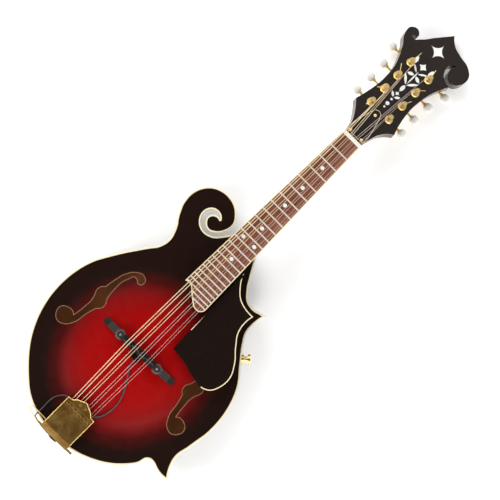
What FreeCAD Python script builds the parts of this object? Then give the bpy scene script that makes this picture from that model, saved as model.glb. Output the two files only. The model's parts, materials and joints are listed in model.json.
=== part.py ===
"""F-style mandolin: carved body with scroll, raised pickguard, movable bridge,
Florida fingerboard and four-on-a-plate worm tuners.

Body frame, in millimetres: origin at the bridge on the centre line, +X to the
treble side, +Y towards the headstock, +Z out of the face. Z = 0 is the upper
edge of the sides. At the end everything is laid on its back on the ground.
"""
import FreeCAD, Part
import math
import os
from FreeCAD import Matrix, Placement, Rotation, Vector

# --- overall sizes ---------------------------------------------------------
SCALE_LENGTH = 352.4      # bridge to front of nut
BODY_WIDTH = 251.0
BODY_LENGTH = 347.0
BODY_DEPTH = 44.5         # rim with both plate edges
ARCH_TOP = 14.0
ARCH_BACK = 12.0

# --- body construction -----------------------------------------------------
PLATE = 4.0
BINDING = 1.7
RIM_WALL = 3.0
RIM_SEAMS = (-100.0, -30.0, 40.0, 110.0)
LINING_WIDTH = 5.0
LINING_HEIGHT = 6.0
BAR_WIDTH = 6.0
BAR_DEPTH = 9.0
HOLE_BINDING = 0.7

# --- neck and fingerboard --------------------------------------------------
NECK_ANGLE = 4.5
HEAD_ANGLE = 14.0         # headstock against the neck
BOARD_PLANE = 27.7        # fingerboard plane above the rim at the bridge
BOARD_THICK = 5.0
BOARD_NUT_WIDTH = 28.0
BOARD_END_WIDTH = 42.0
BOARD_END = 96.0          # where the widest part of the fingerboard ends
BOARD_BINDING = 1.2
NUT_THICK = 4.5
NUT_WIDTH = 29.0
NUT_STRING = 1.3          # underside of the strings above the board at the nut
NECK_DEPTH = 15.0
FRET_COUNT = 24
FULL_FRETS = 21           # the rest lie on the Florida extension only
FRET_WIDTH = 1.8
FRET_HEIGHT = 1.0
DOT_R = 2.4

# --- headstock and tuners --------------------------------------------------
FACE_DROP = 2.5           # headstock face below the fingerboard plane
OVERLAY = 2.0
HEAD_CORE = 13.0
INLAY = 0.6
POST_X = 15.0
POST_FIRST = 49.0
POST_PITCH = 24.2
POST_R = 3.0
POST_HEIGHT = 11.0
BUSHING_R = 5.2
BUSHING_HEIGHT = 1.5
TUNER_PLATE = 1.2
GEAR_TEETH = 16
GEAR_PITCH_R = 4.5
GEAR_TIP_R = 5.0
GEAR_ROOT_R = 3.9
GEAR_WIDTH = 2.5
WORM_CORE_R = 1.5
WORM_TIP_R = 2.55
WORM_PITCH_R = 2.1
WORM_LENGTH = 7.0
KEY_R = 1.5
KEY_START = 9.6           # inner end of each key shaft, from the centre line
KEY_REACH = (33.0, 32.0, 33.0, 40.0)
BUTTON_LENGTH = 12.0
BUTTON_HEIGHT = 11.5
BUTTON_THICK = 7.5
RUN_CLEAR = 0.05          # radial clearance of a running fit
TOUCH = 0.05              # gap between a string and what it bears on

# --- bridge ----------------------------------------------------------------
BRIDGE_Y = -2.2
BRIDGE_TURN = 1.5
BRIDGE_LENGTH = 112.0
BRIDGE_WIDTH = 8.8
BRIDGE_TOP = 20.0
SADDLE_TOP = 31.4
SADDLE_BOTTOM = 24.9
SADDLE_LENGTH = 67.0
SADDLE_WIDTH = 7.0
BRIDGE_POST_X = 29.5
BRIDGE_POST_R = 1.4
WHEEL_R = 6.2
WHEEL_THICK = 2.8

# --- strings: (radius, place at the bridge, tailpiece and nut) ---------------
STRINGS = {
    "strings_g": (0.50, ((-18.2, -15.6, -11.9), (-14.7, -12.1, -9.3))),
    "strings_d": (0.33, ((-7.3, -7.0, -4.9), (-3.9, -3.6, -2.4))),
    "strings_a": (0.20, ((3.9, 3.6, 2.4), (7.2, 7.0, 4.9))),
    "strings_e": (0.14, ((14.8, 12.1, 9.4), (18.0, 15.4, 11.9))),
}
HOOK_RUN = 20.0           # tail edge to the string hooks
HOOK_Z = 7.2
COIL_TURNS = 2.0
COIL_PITCH = 1.05
COIL_TOP = (6.0, 8.3, 8.3, 8.3)
TAIL_HEIGHT = 9.8
# Where each cut string end points, from its post: length and angle.
TAIL_ENDS = ((11.0, 258.0), (11.5, 232.0), (12.5, 123.0), (14.5, 84.0),
             (9.0, 300.0), (9.5, 66.0), (10.0, 48.0), (11.5, 97.0))

# --- pickguard, tailpiece and fittings ---------------------------------------
GUARD_DROP = 7.0          # guard's top under the fingerboard plane
GUARD_THICK = 2.2
GUARD_BINDING = 1.2
COVER_HALF = 21.0
COVER_RUN = 55.5
COVER_WALL = 1.0
TAIL_BASE_Z = 2.2
TAIL_BASE = 1.2
JACK_Z = -22.0
JACK_BORE_R = 3.2
JACK_DEPTH = 26.0
CABLE_R = 0.8

X_FIT = BODY_WIDTH / 251.0
Y_FIT = BODY_LENGTH / 347.0

# Body edge, as smooth runs that meet at corners. The first run starts at the
# lower bout's point and passes the tail, the bass side and the scroll.
BASS_RUN = [
    (109.0, -85.5), (101.5, -84), (90, -101.8), (70, -121.9), (50, -133.8), (30, -141),
    (0, -144), (-30, -141), (-50, -134), (-80.5, -110), (-104.7, -80), (-118, -50),
    (-123.5, -5), (-116.8, 30), (-101, 60), (-81, 90), (-70.8, 105), (-68.7, 115),
    (-72.6, 130), (-82, 145), (-88.2, 160), (-87.6, 180), (-77.9, 195), (-57.4, 202.8),
    (-36.2, 196), (-26.4, 180), (-28.5, 170.5), (-36, 160.5), (-44.5, 157), (-52.5, 161),
    (-55.3, 168), (-51, 174.8), (-42.5, 175.5)]
SCROLL_RUN = [
    (-42.5, 175.5), (-48.5, 179.8), (-57.5, 178.2), (-62.3, 169), (-58.8, 158.5),
    (-48.5, 152.2), (-36, 154.4), (-25.6, 164.5), (-20, 173)]
TREBLE_RUN = [
    (20, 173), (30, 155), (40, 139.4), (50, 130), (60, 128), (70, 130.3), (76.3, 132)]
WAIST_RUN = [
    (76.3, 132), (73.4, 117.5), (74.4, 102.5), (82.5, 88.8), (96, 71.5), (113, 50),
    (124.1, 20), (126.8, -10), (122.7, -40), (119.5, -62), (123.6, -75), (131.5, -87)]
POINT_RUN = [(131.5, -87), (120, -88.2), (109.0, -85.5)]

HOLE_INNER = [
    (-58.5, 53.5), (-63.9, 56.3), (-71.2, 46), (-73.1, 30), (-70.4, 12.5)]
HOLE_NOTCH_IN = [(-70.4, 12.5), (-67.5, 5.8), (-72.5, -2)]
HOLE_LOWER = [
    (-72.5, -2), (-75.9, -14), (-79.6, -32.5), (-86, -42), (-94, -45), (-101.8, -40),
    (-103.2, -30.5), (-97, -25.5), (-89.2, -25), (-85.4, -28)]
HOLE_OUTER = [(-85.4, -28), (-82.9, -10), (-82.6, 0), (-85, 9)]
HOLE_NOTCH_OUT = [(-85, 9), (-87, 15), (-82, 23)]
HOLE_UPPER = [
    (-82, 23), (-80, 36), (-75.8, 50.8), (-68.3, 60.8), (-59.5, 64.3), (-53.4, 60),
    (-54.3, 54.8), (-58.5, 53.5)]

GUARD_OUTER = [
    (22.6, 151.5), (31.3, 137), (42.5, 127), (55, 123.1), (66.6, 122.8)]
GUARD_SIDE = [
    (66.6, 122.8), (65, 111.3), (67.5, 97.5), (77.5, 83.1), (90, 68.8), (98.4, 52),
    (97.5, 36.3), (91, 24.5), (81, 20)]
GUARD_LOWER = [(81, 20), (65, 22.3), (46, 27.5), (26, 29)]
GUARD_INNER = [(26, 29), (24.8, 60), (23.6, 90), (22.6, 151.5)]

# Bass end of the fingerboard, from the bass side of the wide part.
BOARD_TIP = [(-21, 96), (-12.5, 97), (-7, 92.5), (1, 86), (10.5, 80.5), (18, 82), (21, 90)]

HEAD_LEFT = [
    (-13.2, 0), (-15.5, 15.8), (-19.5, 23.7), (-31, 39)]
HEAD_WAIST_LEFT = [
    (-31, 39), (-27, 56.4), (-24, 81.2), (-26.5, 106.5), (-36.5, 130.2), (-45, 143.9),
    (-45.5, 154.4), (-37.5, 159.2), (-30.7, 153.4)]
HEAD_HOOK_LEFT = [(-30.7, 153.4), (-33.8, 151.4), (-37, 149.1)]
HEAD_CROWN_LEFT = [(-37, 149.1), (-33, 146.4), (-25.5, 152.8), (-14, 168.6), (0, 187.1)]
HEAD_CROWN_RIGHT = [
    (0, 187.1), (9, 178.1), (22.5, 173.4), (37.5, 170.2), (48, 160.2), (47.5, 148.6),
    (39.5, 140), (30, 141.8), (25, 152.8), (28.5, 160.2)]
HEAD_HOOK_RIGHT = [(28.5, 160.2), (21.5, 155.5), (22.3, 143.3), (30, 136), (39, 134.4)]
HEAD_WAIST_RIGHT = [
    (39, 134.4), (31.3, 117), (26, 92.8), (26, 68.5), (32.5, 40.1)]
HEAD_RIGHT = [(32.5, 40.1), (20, 26.4), (16.3, 15.8), (13.2, 0)]

# Pickup lead: from the bridge, under the tailpiece and round the tail.
CABLE_ROUTE = [
    (2, -13.6, 15.2), (5, -22, 14.9), (10, -31, 14.3), (17, -40.5, 13.4), (22.5, -51, 12.1),
    (25.8, -61.5, 10.6), (26.3, -72, 9.1), (25, -82, 7.4), (21.5, -91, 5.8), (15, -98.5, 4.7),
    (5, -102.5, 4.1), (-8, -101.5, 4.2), (-19, -98.5, 4.4), (-27, -102.5, 3.1),
    (-32.5, -110, 1.9), (-34.3, -119.5, 1.2), (-33.6, -130, 0.95), (-34, -141.2, 1.35),
    (-33.6, -145, -3.5), (-29, -146.5, -11.5), (-21.5, -149, -18.5), (-13, -150.3, -21.8),
    (-6.2, -150.3, -22)]

# Wire hairpin that holds the lead, from the tailpiece foot out and back.
GUIDE_ROUTE = [
    (-26, -146.4, -2.5), (-26, -146.4, 2.6), (-41.5, -143, 2.9), (-44.6, -141.3, 2.9),
    (-45.4, -139, 2.9), (-43.8, -137.2, 2.9), (-40.5, -136.8, 2.9), (-22.6, -137.4, 2.9)]
GUIDE_R = 0.6

# --- derived places ----------------------------------------------------------
TAIL_Y = -144.0 * Y_FIT
JOINT_Y = 173.0 * Y_FIT
ARCH_Y = -10.0 * Y_FIT
ARCH_HALF_WIDTH = 112.0 * X_FIT
ARCH_HALF_LENGTH = 125.0 * Y_FIT
NUT_BACK = SCALE_LENGTH + NUT_THICK
HEAD_THICK = OVERLAY + HEAD_CORE
KEY_DEPTH = HEAD_THICK + TUNER_PLATE + 0.4 + WORM_TIP_R + 0.4
KEY_OFFSET = GEAR_PITCH_R + WORM_PITCH_R
WORM_LEAD = 2 * math.pi * GEAR_PITCH_R / GEAR_TEETH
HOOK_Y = TAIL_Y + HOOK_RUN

NECK = Placement(Vector(0, 0, BOARD_PLANE), Rotation(Vector(1, 0, 0), -NECK_ANGLE))
HEAD = NECK.multiply(
    Placement(Vector(0, NUT_BACK, -FACE_DROP), Rotation(Vector(1, 0, 0), -HEAD_ANGLE)))
BRIDGE = Placement(Vector(0, BRIDGE_Y, 0), Rotation(Vector(0, 0, 1), BRIDGE_TURN))


# --- curves ------------------------------------------------------------------
def arc_from(start, tangent, end):
    """Arc that leaves start along tangent and ends at end."""
    chord = end - start
    side = Vector(-chord.y, chord.x, 0)
    lean = tangent.dot(side) / chord.Length
    if abs(lean) < 1e-4:
        return Part.LineSegment(start, end).toShape()
    along = tangent.dot(chord) / chord.Length
    middle = (start + end) * 0.5 + side * (0.5 * lean / (1 + along))
    return Part.Arc(start, middle, end).toShape()


def turned_back(tangent, chord):
    """The tangent mirrored in the chord, as at the far end of one arc."""
    along = chord * (1 / chord.Length)
    return along * (2 * tangent.dot(along)) - tangent


def biarc(start, tangent, end, end_tangent):
    """Two tangent arcs between two points with given directions."""
    gap = end - start
    if (turned_back(tangent, gap) - end_tangent).Length < 1e-3:
        return [arc_from(start, tangent, end)]
    bend = 1 - tangent.dot(end_tangent)
    run = gap.dot(tangent + end_tangent)
    if bend < 1e-6:
        reach = gap.dot(gap) / (2 * run)
    else:
        reach = (math.sqrt(run * run + 2 * bend * gap.dot(gap)) - run) / (2 * bend)
    middle = (start + end + (tangent - end_tangent) * reach) * 0.5
    return [arc_from(start, tangent, middle),
            arc_from(middle, turned_back(tangent, middle - start), end)]


def smooth_run(points):
    """Tangent arcs through the points; each end is free."""
    if len(points) == 2:
        return [Part.LineSegment(points[0], points[1]).toShape()]
    tangents = [None] * len(points)
    for i in range(1, len(points) - 1):
        before = points[i] - points[i - 1]
        after = points[i + 1] - points[i]
        blend = before * (1 / before.dot(before)) + after * (1 / after.dot(after))
        tangents[i] = blend * (1 / blend.Length)
    tangents[0] = turned_back(tangents[1], points[1] - points[0])
    tangents[-1] = turned_back(tangents[-2], points[-1] - points[-2])
    edges = []
    for i in range(len(points) - 1):
        edges += biarc(points[i], tangents[i], points[i + 1], tangents[i + 1])
    return edges


def outline(runs, x_fit=1.0, y_fit=1.0):
    """Flat face bounded by smooth runs; a gap between runs is closed straight."""
    edges = []
    runs = [[Vector(x * x_fit, y * y_fit, 0) for x, y in run] for run in runs]
    for run, following in zip(runs, runs[1:] + runs[:1]):
        edges += smooth_run(run)
        if (run[-1] - following[0]).Length > 1e-6:
            edges.append(Part.LineSegment(run[-1], following[0]).toShape())
    return Part.Face(Part.Wire(edges))


def inset(face, distance):
    return face.makeOffset2D(-distance)


def slab(face, bottom, top):
    """The flat face as a plate between two heights."""
    lifted = face.copy()
    lifted.translate(Vector(0, 0, bottom))
    return lifted.extrude(Vector(0, 0, top - bottom))


def box(x0, x1, y0, y1, z0, z1):
    return Part.makeBox(x1 - x0, y1 - y0, z1 - z0, Vector(x0, y0, z0))


def side_profile(points, x0, x1):
    """A (y, z) polygon stretched across the instrument."""
    corners = [Vector(x0, y, z) for y, z in points]
    wire = Part.makePolygon(corners + corners[:1])
    return Part.Face(wire).extrude(Vector(x1 - x0, 0, 0))


def joined(shapes):
    first = shapes[0]
    if len(shapes) == 1:
        return first
    return first.fuse(shapes[1:]).removeSplitter()


def without(shape, tools):
    for tool in tools:
        shape = shape.cut(tool)
    return shape


def group(shapes):
    return Part.makeCompound(shapes)


def put(shape, placement):
    moved = shape.copy()
    moved.Placement = placement.multiply(moved.Placement)
    return moved


def mirrored(shape):
    return shape.mirror(Vector(0, 0, 0), Vector(1, 0, 0))


def rod(start, end, radius):
    return Part.makeCylinder(radius, (end - start).Length, start, end - start)


# --- body --------------------------------------------------------------------
def arch_curve(rise, level):
    """Half section of an arched surface over a nominal radius of 100."""
    crest = Vector(0, level + rise, 0)
    turn = Vector(70, level + 0.3 * rise, 0)
    edge = Vector(100, level, 0)
    outward = Vector(1, 0, 0)
    if rise == 0:
        return [Part.LineSegment(crest, edge).toShape()]
    crown = arc_from(crest, outward, turn)
    recurve = arc_from(turn, turned_back(outward, turn - crest), edge)
    return [crown, recurve]


def arched(rise, level, other_rise, other_level, reach=260.0):
    """Solid between two arched surfaces that run on flat past the arch."""
    lower = arch_curve(other_rise, other_level)
    upper = arch_curve(rise, level)
    ends = [
        Part.makeLine(Vector(100, other_level, 0), Vector(reach, other_level, 0)),
        Part.makeLine(Vector(reach, other_level, 0), Vector(reach, level, 0)),
        Part.makeLine(Vector(reach, level, 0), Vector(100, level, 0)),
        Part.makeLine(Vector(0, level + rise, 0), Vector(0, other_level + other_rise, 0))]
    loop = Part.Wire(Part.__sortEdges__(lower + upper + ends))
    section = Part.Face(loop)
    section.rotate(Vector(0, 0, 0), Vector(1, 0, 0), 90)
    turned = section.revolve(Vector(0, 0, 0), Vector(0, 0, 1), 360)
    stretch = Matrix()
    stretch.scale(ARCH_HALF_WIDTH / 100, ARCH_HALF_LENGTH / 100, 1)
    solid = turned.transformGeometry(stretch)
    solid.translate(Vector(0, ARCH_Y, 0))
    return solid


def body_face():
    return outline([BASS_RUN, SCROLL_RUN, TREBLE_RUN, WAIST_RUN, POINT_RUN], X_FIT, Y_FIT)


def sound_hole_faces():
    left = outline([HOLE_INNER, HOLE_NOTCH_IN, HOLE_LOWER, HOLE_OUTER,
                    HOLE_NOTCH_OUT, HOLE_UPPER], X_FIT, Y_FIT)
    return [left, mirrored(left)]


def top_plate(face, holes):
    """Carved top with the two sound holes."""
    layer = arched(ARCH_TOP, 0, ARCH_TOP, -PLATE)
    plate = layer.common(slab(inset(face, BINDING), -PLATE - 1, ARCH_TOP + 1))
    openings = [slab(hole.makeOffset2D(HOLE_BINDING), -PLATE - 2, ARCH_TOP + 2) for hole in holes]
    return without(plate, openings)


def back_plate(face):
    bottom = -BODY_DEPTH
    layer = arched(-ARCH_BACK, bottom + PLATE, -ARCH_BACK, bottom)
    return layer.common(slab(inset(face, BINDING), bottom - ARCH_BACK - 1, bottom + PLATE + 1))


def soundhole_binding(holes):
    """Thin ivory lining round each sound hole, through the whole plate."""
    layer = arched(ARCH_TOP, 0, ARCH_TOP, -PLATE)
    rings = []
    for hole in holes:
        outer = slab(hole.makeOffset2D(HOLE_BINDING), -PLATE - 1, ARCH_TOP + 1)
        ring = outer.cut(slab(hole, -PLATE - 2, ARCH_TOP + 2))
        rings.append(layer.common(ring))
    return group(rings)


def edge_binding(face, bottom):
    ring = face.cut(inset(face, BINDING))
    return slab(ring, bottom, bottom + PLATE)


def jack_hole():
    return rod(Vector(0, TAIL_Y - 10, JACK_Z), Vector(0, TAIL_Y + JACK_DEPTH + 1, JACK_Z), 5.0)


def rim(face, side):
    """Bent side of one half in lengths joined end to end, from the tail to the neck."""
    wall = slab(face, -BODY_DEPTH + PLATE, -PLATE)
    inside = slab(inset(face, RIM_WALL), -BODY_DEPTH, 0)
    wood = wall.cut(inside).cut(jack_hole())
    far = side * BODY_WIDTH
    seams = [-BODY_LENGTH] + [y * Y_FIT for y in RIM_SEAMS] + [BODY_LENGTH]
    lengths = []
    for low, high in zip(seams, seams[1:]):
        band = box(min(0, far), max(0, far), low, high, -BODY_DEPTH, 0)
        lengths.append(wood.common(band))
    return lengths


def block_regions():
    """Where solid wood fills the space between the plates."""
    top = -PLATE
    bottom = -BODY_DEPTH + PLATE
    neck = box(-100 * X_FIT, 90 * X_FIT, 122 * Y_FIT, 210 * Y_FIT, bottom, top)
    tail = box(-45 * X_FIT, 45 * X_FIT, TAIL_Y, TAIL_Y + 22, bottom, top)
    lower = box(-22, 22, -30, 30, bottom, top)
    lower.rotate(Vector(0, 0, 0), Vector(0, 0, 1), 45)
    lower.translate(Vector(122 * X_FIT, -93 * Y_FIT, 0))
    return [neck, tail, lower]


def end_blocks(face):
    """Neck block with the scroll and upper point, tail block and lower point."""
    space = slab(inset(face, RIM_WALL), -BODY_DEPTH + PLATE, -PLATE)
    blocks = [space.common(region) for region in block_regions()]
    blocks[1] = blocks[1].cut(jack_hole())
    return group(blocks)


def linings(face):
    """Glue strips in the two corners between sides and plates."""
    outer = inset(face, RIM_WALL)
    strip = outer.cut(inset(face, RIM_WALL + LINING_WIDTH))
    upper = slab(strip, -PLATE - LINING_HEIGHT, -PLATE)
    lower = slab(strip, -BODY_DEPTH + PLATE, -BODY_DEPTH + PLATE + LINING_HEIGHT)
    return group([without(part, block_regions()) for part in (upper, lower)])


def tone_bars():
    """Two long braces glued under the arched top, between the sound holes."""
    under = arched(ARCH_TOP, -PLATE, 0, -PLATE - 2)
    bars = []
    for side in (-1, 1):
        bar = box(-BAR_WIDTH / 2, BAR_WIDTH / 2, ARCH_Y - 88 * Y_FIT, ARCH_Y + 88 * Y_FIT,
                  ARCH_TOP - PLATE - BAR_DEPTH, ARCH_TOP)
        bar.rotate(Vector(0, ARCH_Y, 0), Vector(0, 0, 1), side * 4)
        bar.translate(Vector(side * 27 * X_FIT, 0, 0))
        bars.append(bar.common(under))
    return group(bars)


# --- neck, in neck coordinates: y along the board, z = 0 its playing surface ---
def board_half_width(y):
    share = (SCALE_LENGTH - y) / (SCALE_LENGTH - BOARD_END)
    return 0.5 * (BOARD_NUT_WIDTH + (BOARD_END_WIDTH - BOARD_NUT_WIDTH) * share)


def fret_place(number):
    return SCALE_LENGTH * 2 ** (-number / 12)


def board_face(far_end):
    """Plan of the fingerboard with its Florida tip, up to far_end."""
    half = board_half_width(far_end)
    tip = [(x * BOARD_END_WIDTH / 42, y - 96 + BOARD_END) for x, y in BOARD_TIP]
    return outline([tip, [(BOARD_END_WIDTH / 2, BOARD_END), (half, far_end)],
                    [(half, far_end), (-half, far_end)]])


def fingerboard(dots):
    core = inset(board_face(SCALE_LENGTH + 5), BOARD_BINDING)
    board = slab(core, -BOARD_THICK, 0)
    board = board.cut(box(-40, 40, SCALE_LENGTH, SCALE_LENGTH + 20, -20, 20))
    return board.cut(dots)


def fingerboard_binding():
    whole = board_face(SCALE_LENGTH + 5)
    ring = slab(whole.cut(inset(whole, BOARD_BINDING)), -BOARD_THICK, 0)
    return ring.cut(box(-40, 40, SCALE_LENGTH, SCALE_LENGTH + 20, -20, 20))


def fret_wire(number):
    """Domed wire across the board, cut to the extension for the last frets."""
    y = fret_place(number)
    half = board_half_width(y)
    left = Vector(-half, y - FRET_WIDTH / 2, 0)
    right = Vector(-half, y + FRET_WIDTH / 2, 0)
    dome = Part.Arc(left, Vector(-half, y, FRET_HEIGHT), right).toShape()
    section = Part.Face(Part.Wire([dome, Part.makeLine(right, left)]))
    crown = section.extrude(Vector(2 * half, 0, 0))
    if number > FULL_FRETS:
        crown = crown.common(slab(board_face(SCALE_LENGTH), 0, 2 * FRET_HEIGHT))
    return crown


def frets():
    return group([fret_wire(number) for number in range(1, FRET_COUNT + 1)])


def position_dots():
    """Single dots, and a pair at the octave, let into the board."""
    places = [(3, 0), (5, 0), (7, 0), (10, 0), (12, -9), (12, 9), (15, 0)]
    dots = []
    for number, x in places:
        y = 0.5 * (fret_place(number) + fret_place(number - 1))
        dots.append(Part.makeCylinder(DOT_R, 1.0, Vector(x, y, -1.0)))
    return group(dots)


def string_sites():
    """Every string as (node, radius, bridge x, tail x, nut x), bass to treble."""
    sites = []
    for node, (radius, places) in STRINGS.items():
        for at_bridge, at_tail, at_nut in places:
            sites.append((node, radius, at_bridge, at_tail, at_nut))
    return sites



def nut():
    block = box(-NUT_WIDTH / 2, NUT_WIDTH / 2, SCALE_LENGTH, NUT_BACK, -BOARD_THICK,
                NUT_STRING + 0.7)
    slots = []
    for node, radius, at_bridge, at_tail, at_nut in string_sites():
        width = radius + TOUCH
        slots.append(box(at_nut - width, at_nut + width, SCALE_LENGTH - 1, NUT_BACK + 1,
                         NUT_STRING - TOUCH, NUT_STRING + 5))
    return without(block, slots)


def neck_section(y, depth):
    """D-shaped section of the neck, flat on top."""
    half = board_half_width(y) - 0.3
    left = Vector(-half, y, -BOARD_THICK)
    right = Vector(half, y, -BOARD_THICK)
    keel = Vector(0, y, -BOARD_THICK - depth)
    curve = Part.BSplineCurve()
    poles = [left, Vector(-half, y, keel.z * 0.75 - 1.2), Vector(-half * 0.62, y, keel.z),
             Vector(half * 0.62, y, keel.z), Vector(half, y, keel.z * 0.75 - 1.2), right]
    curve.buildFromPoles(poles)
    return Part.Wire([curve.toShape(), Part.makeLine(right, left)])


def heel_section(z, reach, half):
    """U-shaped level section of the heel."""
    back = JOINT_Y - 6
    nose = JOINT_Y + reach
    left = Vector(-half, back, z)
    right = Vector(half, back, z)
    curve = Part.BSplineCurve()
    curve.buildFromPoles([left, Vector(-half, nose - 2, z), Vector(-half * 0.6, nose, z),
                          Vector(half * 0.6, nose, z), Vector(half, nose - 2, z), right])
    return Part.Wire([curve.toShape(), Part.makeLine(right, left)])


def head_face():
    return outline([HEAD_LEFT, HEAD_WAIST_LEFT, HEAD_HOOK_LEFT, HEAD_CROWN_LEFT,
                    HEAD_CROWN_RIGHT, HEAD_HOOK_RIGHT, HEAD_WAIST_RIGHT, HEAD_RIGHT])


def post_places():
    """Tuner posts in headstock coordinates, bass side then treble side."""
    return [(side * POST_X, POST_FIRST + i * POST_PITCH)
            for side in (-1, 1) for i in range(4)]


def rod_pocket():
    """Pocket at the headstock for the truss rod nut, in neck coordinates."""
    return box(-4.6, 4.6, NUT_BACK + 0.3, NUT_BACK + 15, -14.8, 5)


def neck(face):
    """Neck, heel, fingerboard riser and headstock core in one piece."""
    shaft = Part.makeLoft([neck_section(NUT_BACK, NECK_DEPTH - 1),
                           neck_section(JOINT_Y, NECK_DEPTH + 1)], True)
    shaft = put(shaft, NECK)
    bottom = -BODY_DEPTH
    heel = Part.makeLoft([heel_section(bottom, 7, 12), heel_section(bottom * 0.66, 9, 15),
                          heel_section(bottom * 0.33, 15, 17.5),
                          heel_section(0, 32, 18.4)], True)
    start = ARCH_Y + ARCH_HALF_LENGTH + 1
    lift = NECK.multVec(Vector(0, start, -BOARD_THICK)).z
    drop = NECK.multVec(Vector(0, JOINT_Y + 8, -BOARD_THICK)).z
    riser = side_profile([(start, 0), (JOINT_Y + 8, 0), (JOINT_Y + 8, drop), (start, lift)],
                         -18.4, 18.4)
    core = put(slab(head_face(), -HEAD_THICK, -OVERLAY), HEAD)
    body = slab(face, -BODY_DEPTH - ARCH_BACK, 0)
    wood = joined([shaft.cut(body), heel.cut(body), riser, core])
    cuts = [put(rod_pocket(), NECK)]
    # Everything stays under the fingerboard and the nut.
    cuts.append(put(box(-60, 60, 0, NUT_BACK, -BOARD_THICK, 40), NECK))
    cuts.append(put(rod(Vector(0, JOINT_Y + 12, -10), Vector(0, NUT_BACK + 5, -10), 2.4), NECK))
    for x, y in post_places():
        hole = rod(Vector(x, y, -HEAD_THICK - 1), Vector(x, y, 1), POST_R + 0.2)
        seat = rod(Vector(x, y, -8), Vector(x, y, 1), BUSHING_R - 1)
        cuts.append(put(hole.fuse(seat), HEAD))
    return without(wood, cuts)


def truss_rod():
    return put(rod(Vector(0, JOINT_Y + 12, -10), Vector(0, NUT_BACK + 10, -10), 2.4), NECK)


def truss_rod_nut():
    """Hexagon nut on the end of the truss rod."""
    corners = [Vector(3.4 * math.cos(math.radians(a)), 0, 3.4 * math.sin(math.radians(a)))
               for a in range(0, 361, 60)]
    blank = Part.Face(Part.makePolygon(corners)).extrude(Vector(0, 8, 0))
    blank = blank.cut(rod(Vector(0, -1, 0), Vector(0, 9, 0), 2.4 + RUN_CLEAR))
    blank.translate(Vector(0, NUT_BACK + 3, -10))
    return put(blank, NECK)


# --- headstock, in headstock coordinates: z = 0 its face ------------------------
def star_face(x, y, long, short, turn=0.0):
    """Four-pointed star with hollow sides."""
    runs = []
    for i in range(4):
        angle = math.radians(90 * i + turn)
        following = math.radians(90 * (i + 1) + turn)
        between = math.radians(90 * i + 45 + turn)
        tip = (x + long * math.cos(angle), y + long * math.sin(angle))
        dip = (x + short * math.cos(between), y + short * math.sin(between))
        end = (x + long * math.cos(following), y + long * math.sin(following))
        runs.append([tip, dip, end])
    return outline(runs)


def leaf_face(start, end, belly):
    """Pointed leaf between two places, as wide as twice its belly."""
    a = Vector(start[0], start[1], 0)
    b = Vector(end[0], end[1], 0)
    middle = (a + b) * 0.5
    side = Vector(a.y - b.y, b.x - a.x, 0) * (belly / (b - a).Length)
    edges = [Part.Arc(a, middle + side, b).toShape(), Part.Arc(b, middle - side, a).toShape()]
    return Part.Face(Part.Wire(edges))


def headstock_inlay():
    """Pearl vine: star, diamond, two arms with buds, stem, leaves and dots."""
    faces = [star_face(-0.5, 156.5, 11, 5.0), star_face(0, 128.3, 5.6, 3.2)]
    for side in (-1, 1):
        faces.append(leaf_face((side * 1.2, 117), (side * 11, 124.4), 1.2))
        faces.append(leaf_face((side * 11.5, 123.8), (side * 13, 134.9), 2.2))
        faces.append(leaf_face((side * 1.5, 113.3), (side * 9.5, 109.6), 2.2))
        faces.append(leaf_face((side * 0.8, 96.4), (side * 10.5, 107.5), 1.6))
        faces.append(leaf_face((side * 0.8, 73.8), (side * 6.5, 79), 1.6))
    faces.append(leaf_face((0, 120.7), (0, 97.5), 0.9))
    faces.append(leaf_face((0, 95.4), (0, 84.8), 2.4))
    faces.append(star_face(0, 80.6, 3.4, 1.6))
    pieces = [slab(item, -INLAY, 0) for item in faces]
    for y, radius in ((70.1, 1.6), (62.7, 2.5), (56.9, 1.3)):
        pieces.append(Part.makeCylinder(radius, INLAY, Vector(0, y, -INLAY)))
    sleeves = [rod(Vector(x, y, -5), Vector(x, y, 5), BUSHING_R - 1) for x, y in post_places()]
    return group([without(piece, sleeves) for piece in pieces])


def headstock_overlay(inlay):
    plate = slab(head_face(), -OVERLAY, 0).cut(inlay)
    plate = plate.cut(box(-20, 20, -5, 0.65, -5, 5))
    cuts = [rod(Vector(x, y, -5), Vector(x, y, 5), BUSHING_R - 1) for x, y in post_places()]
    pocket = put(rod_pocket(), HEAD.inverse().multiply(NECK))
    return without(plate, cuts + [pocket])


COVER_BELL = [(0, 48), (5.5, 44.8), (9, 33.2), (12.2, 20), (14, 7.4), (13.2, 2.1)]


def truss_rod_cover():
    """Bell-shaped plate over the truss rod pocket."""
    left = [(-x, y) for x, y in COVER_BELL]
    bell = outline([COVER_BELL, [COVER_BELL[-1], left[-1]], left[::-1]])
    screws = [rod(Vector(x, y, -1), Vector(x, y, 5), 0.9) for x, y in cover_screw_places()]
    return without(slab(bell, 0, 1.4), screws)


def cover_screw_places():
    return [(0, 40), (-9, 5), (9, 5)]


def screw(x, y, z, head_r, length):
    """Round-headed wood screw pointing down from z."""
    shank = rod(Vector(x, y, z - length), Vector(x, y, z), head_r * 0.45)
    ball = Part.makeSphere(head_r * 1.25, Vector(x, y, z - head_r * 0.75))
    head = ball.common(box(x - 5, x + 5, y - 5, y + 5, z, z + 5))
    return shank.fuse(head)


def truss_cover_screws():
    return group([screw(x, y, 1.4, 1.9, 1.4) for x, y in cover_screw_places()])


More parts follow.
